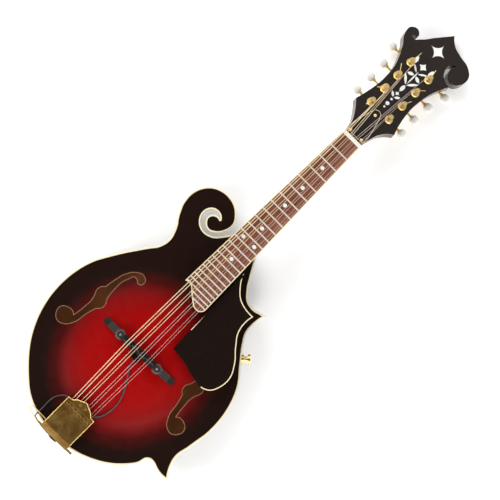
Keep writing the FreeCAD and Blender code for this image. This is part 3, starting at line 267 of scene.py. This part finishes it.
def distance_from(net, origin, half_width, half_length):
    """0 at a place on the body, 1 on an ellipse round it."""
    vector = net.local(origin, PITCH, (1 / (half_width * MM), 1 / (half_length * MM), 0))
    node = net.add("ShaderNodeVectorMath", operation="LENGTH")
    net.link(vector, node.inputs[0])
    return node.outputs["Value"]


def spruce_grain(net):
    """Fine straight growth lines along the body."""
    vector = net.local(ORIGIN, PITCH, (1, 0.03, 0.2))
    lines = net.wave(vector, 260, "X", 1.6, 3.0, 2.0)
    fine = net.noise(net.local(ORIGIN, PITCH, (1, 0.02, 0.3)), 1400, 2.0)
    return net.math("ADD", net.math("MULTIPLY", lines, 0.6), net.math("MULTIPLY", fine, 0.4))


def sunburst_top():
    """Lacquered spruce, deep red in the middle shaded to near black at the edge."""
    net = Net("sunburst_spruce", **GLOSS)
    spread = distance_from(net, place(4, -14, 0), 104, 116)
    cloud = net.levels(net.noise(net.coords, 14, 2.0), 0.2, 0.8, -0.02, 0.02)
    shade = net.ramp(net.math("ADD", spread, cloud), [
        (0.0, (0.37, 0.001, 0.001)), (0.48, (0.32, 0.001, 0.001)),
        (0.70, (0.21, 0.001, 0.001)), (0.85, (0.055, 0.002, 0.0015)),
        (0.99, (0.012, 0.0042, 0.0025))])
    grain = spruce_grain(net)
    dark = net.levels(grain, 0.15, 0.85, 0.78, 1.08)
    tone = net.mix(1.0, shade, net.ramp(dark, [(0.0, (0, 0, 0)), (1.0, (1, 1, 1))]), "MULTIPLY")
    inside = net.facing(-0.5, -0.6)
    raw = net.mix(grain, (0.50, 0.33, 0.17), (0.36, 0.21, 0.10))
    net.colour(net.mix(inside, tone, raw))
    net.rough(net.levels(net.noise(net.coords, 90, 2.0), 0.3, 0.7, 0.30, 0.40))
    net.bump(grain, 0.05, 0.0002)
    return net.material


def flamed_maple(name, light, dark):
    """Lacquered maple with curly figure across the grain."""
    net = Net(name, **GLOSS)
    flame = net.wave(net.local(ORIGIN, PITCH, (0.35, 1, 1)), 55, "Y", 7.0, 2.0, 1.2)
    streak = net.noise(net.local(ORIGIN, PITCH, (1, 0.08, 0.5)), 420, 3.0)
    base = net.mix(net.levels(streak, 0.3, 0.7), light, dark)
    lit = net.levels(net.math("ADD", net.math("MULTIPLY", flame, 0.6),
                              net.math("MULTIPLY", streak, 0.4)), 0.1, 0.9, 0.62, 1.15)
    tone = net.mix(1.0, base, net.ramp(lit, [(0, (0, 0, 0)), (1, (1, 1, 1))]), "MULTIPLY")
    net.colour(tone)
    net.rough(net.levels(streak, 0.3, 0.7, 0.28, 0.4))
    net.bump(streak, 0.04, 0.0002)
    return net.material


def raw_wood():
    """Bare spruce of blocks, linings and tone bars."""
    net = Net("raw_wood", Roughness=0.75)
    streak = net.noise(net.local(ORIGIN, PITCH, (1, 0.06, 1)), 300, 4.0)
    net.colour(net.mix(streak, (0.56, 0.37, 0.20), (0.33, 0.19, 0.09)))
    net.bump(streak, 0.2, 0.0003)
    return net.material


def back_material():
    """Back plate: burst outside, bare maple inside that glows faintly, painted light so it reads
    through the f-holes.
    """
    net = Net("burst_maple_back", **GLOSS)
    spread = distance_from(net, place(4, -14, -50), 106, 118)
    shade = net.ramp(spread, [(0.0, (0.24, 0.012, 0.006)), (0.55, (0.15, 0.008, 0.004)),
                              (0.95, (0.018, 0.006, 0.004))])
    flame = net.wave(net.local(ORIGIN, PITCH, (0.35, 1, 1)), 60, "Y", 8.0, 2.0, 1.2)
    streak = net.noise(net.local(ORIGIN, PITCH, (1, 0.08, 0.5)), 420, 3.0)
    lit = net.levels(net.math("ADD", net.math("MULTIPLY", flame, 0.65),
                              net.math("MULTIPLY", streak, 0.35)), 0.1, 0.9, 0.55, 1.2)
    tone = net.mix(1.0, shade, net.ramp(lit, [(0, (0, 0, 0)), (1, (1, 1, 1))]), "MULTIPLY")
    inside = net.facing(0.5, 0.6)
    bare_wood_and_glow = net.mix(streak, (0.62, 0.24, 0.09), (0.40, 0.14, 0.05))
    net.colour(net.mix(inside, tone, bare_wood_and_glow))
    # The bare inside is made to glow faintly: painted light, not a lamp.
    net.link(bare_wood_and_glow, net.shader.inputs["Emission Color"])
    net.link(net.math("MULTIPLY", inside, 0.075), net.shader.inputs["Emission Strength"])
    net.bump(streak, 0.04, 0.0002)
    return net.material


def ivoroid(name, light, dark, aged):
    """Celluloid with a faint grain and yellowed patches."""
    net = Net(name, Roughness=0.28, Coat_Weight=0.5, Coat_Roughness=0.08)
    lines = net.wave(net.coords, 900, "DIAGONAL", 3.0, 2.0, 1.5)
    patch = net.noise(net.coords, 30, 2.0)
    tone = net.mix(net.levels(lines, 0.2, 0.8, 0.0, 0.5), light, dark)
    net.colour(net.mix(net.levels(patch, 0.4, 0.7, 0.0, 0.4), tone, aged))
    net.bump(lines, 0.05, 0.0001)
    return net.material


def rosewood():
    """Open-pored reddish brown board with dark streaks."""
    net = Net("rosewood", Roughness=0.6, Specular_IOR_Level=0.2)
    long = net.local(ORIGIN, 0.0, (1, 0.035, 0.4))
    streak = net.noise(long, 330, 5.0, 0.6, 0.6)
    pores = net.noise(net.local(ORIGIN, 0.0, (1, 0.07, 1)), 2600, 2.0)
    tone = net.ramp(streak, [(0.25, (0.055, 0.016, 0.010)), (0.45, (0.17, 0.055, 0.032)),
                             (0.6, (0.26, 0.095, 0.056)), (0.8, (0.11, 0.032, 0.02))])
    net.colour(net.mix(net.levels(pores, 0.60, 0.68), tone, (0.03, 0.012, 0.008)))
    net.rough(net.levels(pores, 0.5, 0.7, 0.42, 0.7))
    net.bump(net.levels(pores, 0.55, 0.7, 1.0, 0.0), 0.35, 0.0003)
    return net.material


def overlay_gloss():
    """Near black lacquered veneer on the headstock."""
    rough = 0.24
    net = Net("overlay_gloss", Roughness=rough, Coat_Weight=0.8, Coat_Roughness=0.05,
              Specular_IOR_Level=0.15)
    streak = net.noise(net.local(ORIGIN, 0.0, (1, 0.06, 1)), 500, 4.0)
    net.colour(net.ramp(streak, [(0.3, (0.010, 0.0055, 0.004)), (0.7, (0.017, 0.009, 0.006))]))
    net.rough(net.levels(streak, 0.3, 0.7, rough - 0.04, rough + 0.03))
    net.bump(streak, 0.012, 0.0001)
    return net.material


def bridge_wood():
    """Dark bridge wood with paler brown streaks along it, which are painted highlights."""
    net = Net("bridge_ebony", Roughness=0.42, Specular_IOR_Level=0.35)
    streak = net.noise(net.local(ORIGIN, 0.0, (0.08, 1, 1)), 700, 4.0)
    # The paler brown stops of this ramp paint highlights on the dark wood.
    net.colour(net.ramp(streak, [(0.3, (0.007, 0.005, 0.004)), (0.62, (0.016, 0.011, 0.008)),
                                 (0.8, (0.035, 0.022, 0.015))]))
    net.bump(streak, 0.15, 0.0003)
    return net.material


def pearl():
    """Nacre: soft cloudy bands of white with a hint of green and pink."""
    tint = (0.90, 0.90, 0.86)
    net = Net("pearl", Roughness=0.22, Coat_Weight=0.8, Coat_Roughness=0.04)
    cloud = net.noise(net.coords, 210, 3.0, 0.6, 2.5)
    band = net.wave(net.coords, 130, "DIAGONAL", 9.0, 3.0, 1.4)
    tone = net.ramp(cloud, [(0.30, tint), (0.45, (0.80, 0.88, 0.84)), (0.6, (0.94, 0.87, 0.84)),
                            (0.75, tint)])
    net.colour(net.mix(net.levels(band, 0.2, 0.8, 0.0, 0.35), tone, (0.97, 0.97, 0.94)))
    net.bump(cloud, 0.04, 0.0002)
    return net.material


def button_pearloid():
    """Milky pearloid of the tuner buttons."""
    net = Net("button_pearloid", Roughness=0.2, Coat_Weight=0.9, Coat_Roughness=0.04)
    cloud = net.noise(net.coords, 260, 3.0, 0.6, 3.0)
    net.colour(net.ramp(cloud, [(0.3, (0.93, 0.88, 0.76)), (0.5, (0.97, 0.95, 0.88)),
                                (0.7, (0.86, 0.80, 0.68))]))
    net.shader.inputs["Subsurface Weight"].default_value = 0.15
    net.shader.inputs["Subsurface Radius"].default_value = (0.003, 0.002, 0.0015)
    net.bump(cloud, 0.05, 0.0003)
    return net.material


def bone():
    """Nut: pale bone with fine flecks."""
    net = Net("bone", Roughness=0.35, Coat_Weight=0.3, Coat_Roughness=0.15)
    fleck = net.noise(net.local(ORIGIN, 0.0, (0.2, 1, 1)), 1500, 3.0)
    net.colour(net.mix(net.levels(fleck, 0.4, 0.7), (0.90, 0.86, 0.76), (0.76, 0.70, 0.58)))
    net.bump(fleck, 0.1, 0.0002)
    return net.material


def metal(name, light, dark, rough, wear_scale=60.0, brushed=None):
    """Plated metal with handling marks; brushed stretches its fine scratches."""
    net = Net(name, Metallic=1.0, Roughness=rough)
    smudge = net.noise(net.coords, wear_scale, 4.0, 0.65)
    net.colour(net.mix(net.levels(smudge, 0.35, 0.75), light, dark))
    scratch = net.noise(net.local(ORIGIN, 0.0, brushed or (1, 0.15, 1)), 2400, 2.0)
    both = net.math("ADD", net.math("MULTIPLY", smudge, 0.5), net.math("MULTIPLY", scratch, 0.5))
    net.rough(net.levels(both, 0.3, 0.75, rough * 0.7, rough * 1.6))
    net.bump(scratch, 0.06, 0.0001)
    return net.material


def antique_brass():
    """Dull gold-brown stamped plate with brighter rubbed areas."""
    net = Net("antique_brass", Metallic=1.0, Roughness=0.4)
    cloud = net.noise(net.coords, 45, 5.0, 0.7, 0.6)
    fine = net.noise(net.coords, 900, 3.0)
    net.colour(net.ramp(cloud, [(0.25, (0.12, 0.055, 0.014)), (0.5, (0.25, 0.135, 0.035)),
                                (0.75, (0.40, 0.25, 0.075))]))
    net.rough(net.levels(fine, 0.3, 0.7, 0.30, 0.48))
    net.bump(fine, 0.12, 0.0002)
    return net.material


def black_gloss():
    """Black celluloid with hairline polishing marks."""
    net = Net("black_celluloid", Roughness=0.2, Specular_IOR_Level=0.3, Coat_Weight=0.5,
              Coat_Roughness=0.04)
    mark = net.noise(net.local(ORIGIN, 0.4, (1, 0.03, 1)), 900, 2.0)
    net.colour(net.mix(net.levels(mark, 0.4, 0.7), (0.009, 0.005, 0.004), (0.013, 0.007, 0.005)))
    net.rough(net.levels(mark, 0.3, 0.7, 0.12, 0.22))
    net.bump(mark, 0.02, 0.0001)
    return net.material


def string_metal(name, light, dark, wound):
    """Plain wire, or wire with its tight winding as fine rings, darkened between them with painted
    shade.
    """
    net = Net(name, Metallic=0.4, Roughness=0.5)
    stain = net.noise(net.coords, 70, 3.0)
    tone = net.mix(net.levels(stain, 0.35, 0.7), light, dark)
    if wound:
        rings = net.wave(net.coords, 330, "Y")
        # The darker brown between the rings is painted shade in the grooves of the winding.
        net.colour(net.mix(net.levels(rings, 0.0, 0.5, 0.45, 0.0), tone, (0.25, 0.15, 0.07)))
        net.bump(rings, 0.6, 0.0001)
    else:
        net.colour(tone)
        net.rough(net.levels(stain, 0.3, 0.7, 0.42, 0.6))
    return net.material


def cable_jacket():
    """Dull black rubber with a little dust."""
    net = Net("cable_jacket", Roughness=0.45)
    dust = net.noise(net.coords, 700, 3.0)
    net.colour(net.mix(net.levels(dust, 0.45, 0.7), (0.035, 0.033, 0.033), (0.085, 0.080, 0.078)))
    net.rough(net.levels(dust, 0.3, 0.7, 0.38, 0.6))
    net.bump(dust, 0.15, 0.0001)
    return net.material


GOLD = metal("gold_plate", (1.0, 0.76, 0.30), (0.90, 0.60, 0.18), 0.30)
NICKEL = metal("nickel_plate", (0.94, 0.92, 0.88), (0.82, 0.80, 0.76), 0.34)
# Lighter copy of the nickel for the thumbwheels: painted highlight where their knurled edges catch
# the light.
NICKEL_PAINTED_HIGHLIGHT = metal("nickel_painted_highlight", (0.97, 0.96, 0.94), (0.90, 0.88, 0.85), 0.26)
FRET_WIRE = metal("fret_wire", (0.90, 0.86, 0.74), (0.74, 0.68, 0.56), 0.42, 90.0, (0.1, 1, 1))
STEEL = metal("rod_steel", (0.55, 0.55, 0.55), (0.35, 0.34, 0.33), 0.35)
BRASS = antique_brass()
BLACK = black_gloss()
IVOROID = ivoroid("ivoroid", (0.86, 0.78, 0.52), (0.76, 0.65, 0.38), (0.80, 0.68, 0.38))
PEARL = pearl()
BUTTON = button_pearloid()
WOUND = string_metal("wound_bronze", (0.93, 0.78, 0.55), (0.74, 0.56, 0.34), True)
# The pinkish tint of the plain steel strings is a painted reflection of the red top.
PLAIN = string_metal("plain_steel", (0.80, 0.66, 0.60), (0.62, 0.46, 0.42), False)
HOLE_EDGE = ivoroid("hole_edge", (0.30, 0.17, 0.10), (0.20, 0.10, 0.06), (0.24, 0.12, 0.07))
BODY_DARK = flamed_maple("rim_maple", (0.035, 0.011, 0.007), (0.012, 0.005, 0.004))
NECK_DARK = flamed_maple("neck_maple", (0.075, 0.020, 0.011), (0.035, 0.010, 0.006))
RAW = raw_wood()
JACKET = cable_jacket()
BRIDGE_WOOD = bridge_wood()
OVERLAY_WOOD = overlay_gloss()

CAD_MATERIALS = {
    "top_plate": sunburst_top(), "back_plate": back_material(), "rim_bass": BODY_DARK,
    "rim_scroll": BODY_DARK, "rim_treble": BODY_DARK, "end_blocks": RAW,
    "linings": RAW, "tone_bars": RAW, "top_binding": IVOROID,
    "back_binding": IVOROID, "soundhole_binding": HOLE_EDGE, "neck": NECK_DARK,
    "fingerboard": rosewood(), "fingerboard_binding": IVOROID, "frets": FRET_WIRE,
    "position_dots": PEARL, "nut": bone(), "headstock_overlay": OVERLAY_WOOD,
    "headstock_inlay": PEARL, "truss_rod": STEEL, "truss_rod_nut": BRASS,
    "truss_rod_cover": BLACK, "small_screws": GOLD, "tuner_plates": GOLD,
    "tuner_bushings": GOLD, "bridge_base": BRIDGE_WOOD,
    "bridge_posts": NICKEL, "bridge_saddle": BRIDGE_WOOD, "thumbwheel_bass": NICKEL_PAINTED_HIGHLIGHT,
    "thumbwheel_treble": NICKEL_PAINTED_HIGHLIGHT, "pickup": BLACK, "cable_guide": GOLD, "pickguard": BLACK,
    "pickguard_binding": IVOROID, "pickguard_bracket": BRIDGE_WOOD, "tailpiece_base": GOLD,
    "tailpiece_cover": BRASS, "output_jack": BLACK,
    "strap_button": GOLD,
}
for index in range(1, 9):
    CAD_MATERIALS["tuner_post_%d" % index] = GOLD
    CAD_MATERIALS["tuner_key_%d" % index] = GOLD
for name, material in CAD_MATERIALS.items():
    nodes[name].data.materials.clear()
    nodes[name].data.materials.append(material)

# --- camera, square to the body with the neck up to the right -------------------
PHOTO_WIDTH = 588.7       # millimetres across the picture at the strings
AIM = (7.9, 175.0, 20.0)
DISTANCE = 3000.0
body_x = BODY_TURN @ Vector((1, 0, 0))
body_y = BODY_TURN @ Vector((0, 1, 0))
right = (body_x + body_y).normalized()
up = (body_y - body_x).normalized()
lens_data = bpy.data.cameras.new("camera")
lens_data.sensor_width = 36.0
lens_data.lens = lens_data.sensor_width * DISTANCE / PHOTO_WIDTH
lens_data.clip_end = 100
camera = bpy.data.objects.new("camera", lens_data)
camera.matrix_world = Matrix.Translation(place(*AIM) + NORMAL * DISTANCE * MM) @ Matrix(
    (right, up, NORMAL)).transposed().to_4x4()
bpy.context.scene.collection.objects.link(camera)
bpy.context.scene.camera = camera

# --- pickup lead ----------------------------------------------------------------
CABLE_ROUTE = [
    (2, -13.6, 15.2), (5, -22, 14.9), (10, -31, 14.3), (17, -40.5, 13.4), (22.5, -51, 12.1),
    (25.8, -61.5, 10.6), (26.3, -72, 9.1), (25, -82, 7.4), (21.5, -91, 5.8), (15, -98.5, 4.7),
    (5, -102.5, 4.1), (-8, -101.5, 4.2), (-19, -98.5, 4.4), (-27, -102.5, 3.1),
    (-32.5, -110, 1.9), (-34.3, -119.5, 1.2), (-33.6, -130, 0.95), (-34, -141.2, 1.35),
    (-33.6, -145, -3.5), (-29, -146.5, -11.5), (-21.5, -149, -18.5), (-13, -150.3, -21.8),
    (-6.2, -150.3, -22)]
CABLE_R = 0.8
lead_curve = bpy.data.curves.new("pickup_lead", "CURVE")
lead_curve.dimensions = "3D"
lead_curve.bevel_depth = CABLE_R * MM
lead_curve.bevel_resolution = 4
lead_curve.use_fill_caps = True
spline = lead_curve.splines.new("NURBS")
spline.points.add(len(CABLE_ROUTE) - 1)
for point, spot in zip(spline.points, CABLE_ROUTE):
    point.co = (*place(*spot), 1)
spline.order_u = 3
spline.use_endpoint_u = True
spline.resolution_u = 8
lead = bpy.data.objects.new("pickup_lead", lead_curve)
bpy.context.scene.collection.objects.link(lead)
finish_piece(lead, "instrument", "cable_rubber", JACKET, "pickup_cable")


# --- strings ----------------------------------------------------------------
NUT_BACK = 356.9
NUT_STRING = 1.3
TAIL_Y = -144.0
HOOK_Y = TAIL_Y + 20
HOOK_Z = 7.2
SADDLE_TOP = 31.4
POST_R = 3.0
TOUCH = 0.05
LOOP_R = 1.0
LOOP_RISE = 0.05          # per 30 degree step round the hook
COIL_TURNS = 2.0
COIL_STEPS = 24           # per turn
COIL_PITCH = 1.05
COIL_TOP = (6.0, 8.3, 8.3, 8.3)
NECK_ANGLE = math.radians(4.5)
BOARD_PLANE = 27.7
STRINGS = [
    ("g_1", 0.50, -18.2, -15.6, -11.9), ("g_2", 0.50, -14.7, -12.1, -9.3),
    ("d_1", 0.33, -7.3, -7.0, -4.9), ("d_2", 0.33, -3.9, -3.6, -2.4),
    ("a_1", 0.20, 3.9, 3.6, 2.4), ("a_2", 0.20, 7.2, 7.0, 4.9),
    ("e_1", 0.14, 14.8, 12.1, 9.4), ("e_2", 0.14, 18.0, 15.4, 11.9)]
BRIDGE_TURN = math.radians(1.5)
RIDGE_STEPS = ((-11, -1.2), (0, 0.9), (11, -0.5), (99, 1.1))


def on_neck(x, y, z):
    """Neck millimetres, z = 0 on the fingerboard, to the row frame."""
    c, s = math.cos(NECK_ANGLE), math.sin(NECK_ANGLE)
    return place(x, y * c + z * s, BOARD_PLANE - y * s + z * c)


def on_saddle(x, radius):
    """Where a string crosses its step of the saddle."""
    step = next(value for limit, value in RIDGE_STEPS if x < limit)
    c, s = math.cos(BRIDGE_TURN), math.sin(BRIDGE_TURN)
    return place(x * c - step * s, BRIDGE_Y + x * s + step * c, SADDLE_TOP + TOUCH + radius)


def string_line(number, radius, at_bridge, at_tail, at_nut):
    """Centre line from the loop on the hook to the windings on the post."""
    side = 1 if at_nut > 0 else -1
    order = number if side < 0 else 7 - number
    top = COIL_TOP[order]
    post_y = POST_FIRST + order * POST_PITCH
    turn_r = POST_R + TOUCH + radius
    line = []
    loop_r = LOOP_R + radius + TOUCH
    for step in range(13):
        angle = math.radians(-60 - 30 * step)
        line.append(place(at_tail + loop_r * math.cos(angle),
                          HOOK_Y - 1.1 + loop_r * math.sin(angle), HOOK_Z - 0.6 + LOOP_RISE * step))
    start = place(at_tail, HOOK_Y + 1.5, HOOK_Z + 0.3)
    line = line[:-3] + [start, on_saddle(at_bridge, radius),
                        on_neck(at_nut, NUT_BACK, NUT_STRING + radius)]
    for step in range(int(COIL_TURNS * COIL_STEPS) + 1):
        angle = 2 * math.pi * step / COIL_STEPS
        line.append(head(side * (POST_X - turn_r * math.cos(angle)),
                         post_y + turn_r * math.sin(angle),
                         top - COIL_PITCH * step / COIL_STEPS))
    return line


for number, (name, radius, at_bridge, at_tail, at_nut) in enumerate(STRINGS):
    wire = tube("string_" + name, string_line(number, radius, at_bridge, at_tail, at_nut),
                radius * MM, 8)
    wound = radius > 0.3
    finish_piece(wire, "instrument", "string_bronze" if wound else "string_steel",
                 WOUND if wound else PLAIN, "strings_" + name[0])


# --- tuner buttons ------------------------------------------------------------
KEY_DEPTH = 15 + 1.2 + 0.4 + 2.55 + 0.4
KEY_OFFSET = 4.5 + 2.1
KEY_REACH = (33.0, 32.0, 33.0, 40.0)
BUTTON_LENGTH = 12.0
BUTTON_HEIGHT = 11.5
BUTTON_THICK = 7.5
BUTTON_SKIN = 0.12        # how far the knob stands out of the CAD button


def tuner_button(index):
    """Plump oval knob over the CAD button, wider than it is thick."""
    side = -1 if index < 4 else 1
    reach = KEY_REACH[index % 4]
    y = POST_FIRST + (index % 4) * POST_PITCH + KEY_OFFSET
    half = BUTTON_LENGTH / 2 + 0.15
    centre = reach + BUTTON_LENGTH / 2 - 0.4
    rings = 20
    sides = 28
    verts = []
    faces = []
    for i in range(rings + 1):
        t = -math.cos(math.pi * i / rings)
        swell = max(0.0, 1 - abs(t) ** 2.7) ** (1 / 2.4)
        x = side * (centre + half * t)
        for k in range(sides):
            angle = 2 * math.pi * k / sides
            c, s = math.cos(angle), math.sin(angle)
            high = (BUTTON_HEIGHT / 2 + BUTTON_SKIN) * swell * math.copysign(abs(c) ** 0.92, c)
            thick = (BUTTON_THICK / 2 + BUTTON_SKIN) * swell * math.copysign(abs(s) ** 0.92, s)
            verts.append(head(x, y + high, -KEY_DEPTH + thick))
    for i in range(rings):
        for k in range(sides):
            a = i * sides + k
            b = i * sides + (k + 1) % sides
            faces.append((a, b, b + sides, a + sides))
    return mesh_object("tuner_button_%d" % (index + 1), verts, faces, 0.00002)


for index in range(8):
    finish_piece(tuner_button(index), "key_%d" % (index + 1), "pearl", BUTTON)

# --- white edge line of the truss rod cover -----------------------------------
BELL_FACE = 1.42
BELL_LINE_R = 0.28
BELL = [(0, 47.3), (2.9, 46.3), (5.1, 44.2), (6.8, 39.5), (8.5, 33.0), (11.7, 19.9),
        (13.4, 7.5), (12.7, 2.7)]
bell_line = (smooth_line([head(x, y, BELL_FACE) for x, y in BELL], 5)
             + smooth_line([head(-x, y, BELL_FACE) for x, y in BELL[::-1]], 5))
finish_piece(tube("truss_cover_edge", bell_line, BELL_LINE_R * MM, 6), "instrument", "ivoroid",
             IVOROID)

# --- tailpiece cover ornament ---------------------------------------------------
COVER_FRONT = TAIL_Y + 55.5
COVER_HALF = 21.0
COVER_LOW = 12.5          # its height above TAIL_Y + 5, where the slope starts
COVER_SLOPE = 5.5 / 50.5


def cover_top(y):
    """Height of the cover's sloping top."""
    return COVER_LOW + (y - (TAIL_Y + 5)) * COVER_SLOPE


def cover_edge(name, points, radius):
    line = smooth_line([place(x, y, cover_top(y) - 0.1) for x, y in points], 8)
    finish_piece(tube(name, line, radius * MM, 10), "tail_cover", "gold", GOLD)


LIP = COVER_FRONT - 9.5
FRONT = [(COVER_HALF, LIP), (15, COVER_FRONT - 8.6), (11, COVER_FRONT - 5),
         (6, COVER_FRONT - 2.6), (0, COVER_FRONT)]
FRONT = [(x - 0.3 if x > 20 else x, y - 0.35) for x, y in FRONT]
cover_edge("cover_front_bead", FRONT + [(-x, y) for x, y in FRONT[-2::-1]], 0.6)
for side in (-1, 1):
    cover_edge("cover_side_bead_%s" % ("bass" if side < 0 else "treble"),
               [(side * (COVER_HALF - 0.25), TAIL_Y + 5), (side * (COVER_HALF - 0.25), -120),
                (side * (COVER_HALF - 0.25), LIP)], 0.45)


def leaf(centre, length, width, turn, lift):
    """Low pointed relief leaf on the cover, as (verts, faces)."""
    verts = []
    steps = 8
    c, s = math.cos(turn), math.sin(turn)
    for i in range(steps + 1):
        t = i / steps
        half = width * math.sin(math.pi * t) / 2
        for k, offset in enumerate((-half, 0, half)):
            x = centre[0] + (t - 0.5) * length * c - offset * s
            y = centre[1] + (t - 0.5) * length * s + offset * c
            rise = lift * math.sin(math.pi * t) if k == 1 else -0.05
            verts.append(place(x, y, cover_top(y) + rise))
    faces = []
    for i in range(steps):
        a = 3 * i
        faces += [(a, a + 1, a + 4, a + 3), (a + 1, a + 2, a + 5, a + 4)]
    return verts, faces


def relief(name, leaves, slot, material):
    verts = []
    faces = []
    for item in leaves:
        more, some = leaf(*item)
        faces += [tuple(i + len(verts) for i in face) for face in some]
        verts += more
    finish_piece(mesh_object(name, verts, faces), "tail_cover", slot, material)


BAND_Y = -104.6
BEAD_ROWS = (-101.2, -108.2)
FAN_Y = -97
band = []
for i in range(-6, 7):
    lean = 58 if i % 2 else 122
    band.append(((i * 2.9, BAND_Y), 5.0, 1.6, math.radians(lean), 0.35))
for i in range(-9, 10):
    for row in BEAD_ROWS:
        band.append(((i * 2.0, row), 1.7, 0.9, 0.0, 0.3))
for side in (-1, 1):
    for turn, reach in ((20, 4.5), (50, 6.0), (80, 4.5)):
        angle = math.radians(90 - side * (90 - turn))
        x = side * 3 + 0.4 * reach * math.cos(angle)
        y = FAN_Y + 0.5 * reach * math.sin(angle)
        band.append(((x, y), reach, 1.5, angle, 0.4))
relief("cover_relief", band, "antique_brass", BRASS)

# --- floor, light ---------------------------------------------------------------
bpy.ops.mesh.primitive_plane_add(size=30, location=(0, 0, 0))
floor = bpy.context.object
floor.name = "floor"
paper = Net("white_paper", Roughness=0.9, Emission_Color=(1, 1, 1, 1), Emission_Strength=0.22)
mottle = paper.noise(paper.coords, 3, 2.0)
paper.colour(paper.mix(mottle, (0.95, 0.95, 0.95), (0.93, 0.93, 0.93)))
floor.data.materials.append(paper.material)


def softbox(name, azimuth, elevation, distance, size, power):
    """Large square light aimed at the instrument."""
    data = bpy.data.lights.new(name, "AREA")
    data.shape = "SQUARE"
    data.size = size
    data.energy = power
    light = bpy.data.objects.new(name, data)
    a, e = math.radians(azimuth), math.radians(elevation)
    away = Vector((math.cos(a) * math.cos(e), math.sin(a) * math.cos(e), math.sin(e)))
    light.location = away * distance
    light.rotation_mode = "QUATERNION"
    light.rotation_quaternion = away.to_track_quat("Z", "Y")
    bpy.context.scene.collection.objects.link(light)


softbox("key_light", 150, 40, 3.0, 1.8, 48)
softbox("fill_light", -40, 36, 3.2, 1.8, 44)
softbox("tail_light", -115, 34, 3.2, 1.4, 30)

world = bpy.data.worlds.new("studio")
bpy.context.scene.world = world
world.use_nodes = True
tree = world.node_tree
sky = tree.nodes["Background"]
direction = tree.nodes.new("ShaderNodeTexCoord")
split = tree.nodes.new("ShaderNodeSeparateXYZ")
glow = tree.nodes.new("ShaderNodeValToRGB")
tree.links.new(direction.outputs["Generated"], split.inputs[0])
tree.links.new(split.outputs["Z"], glow.inputs["Fac"])
tree.links.new(glow.outputs["Color"], sky.inputs["Color"])
glow.color_ramp.elements[0].color = (1.0, 1.0, 1.0, 1)
glow.color_ramp.elements[0].position = 0.45
glow.color_ramp.elements[1].color = (0.02, 0.02, 0.02, 1)
glow.color_ramp.elements[1].position = 0.88
sky.inputs["Strength"].default_value = 1.35

bpy.context.scene.view_settings.view_transform = "Standard"
bpy.context.scene.view_settings.look = "None"
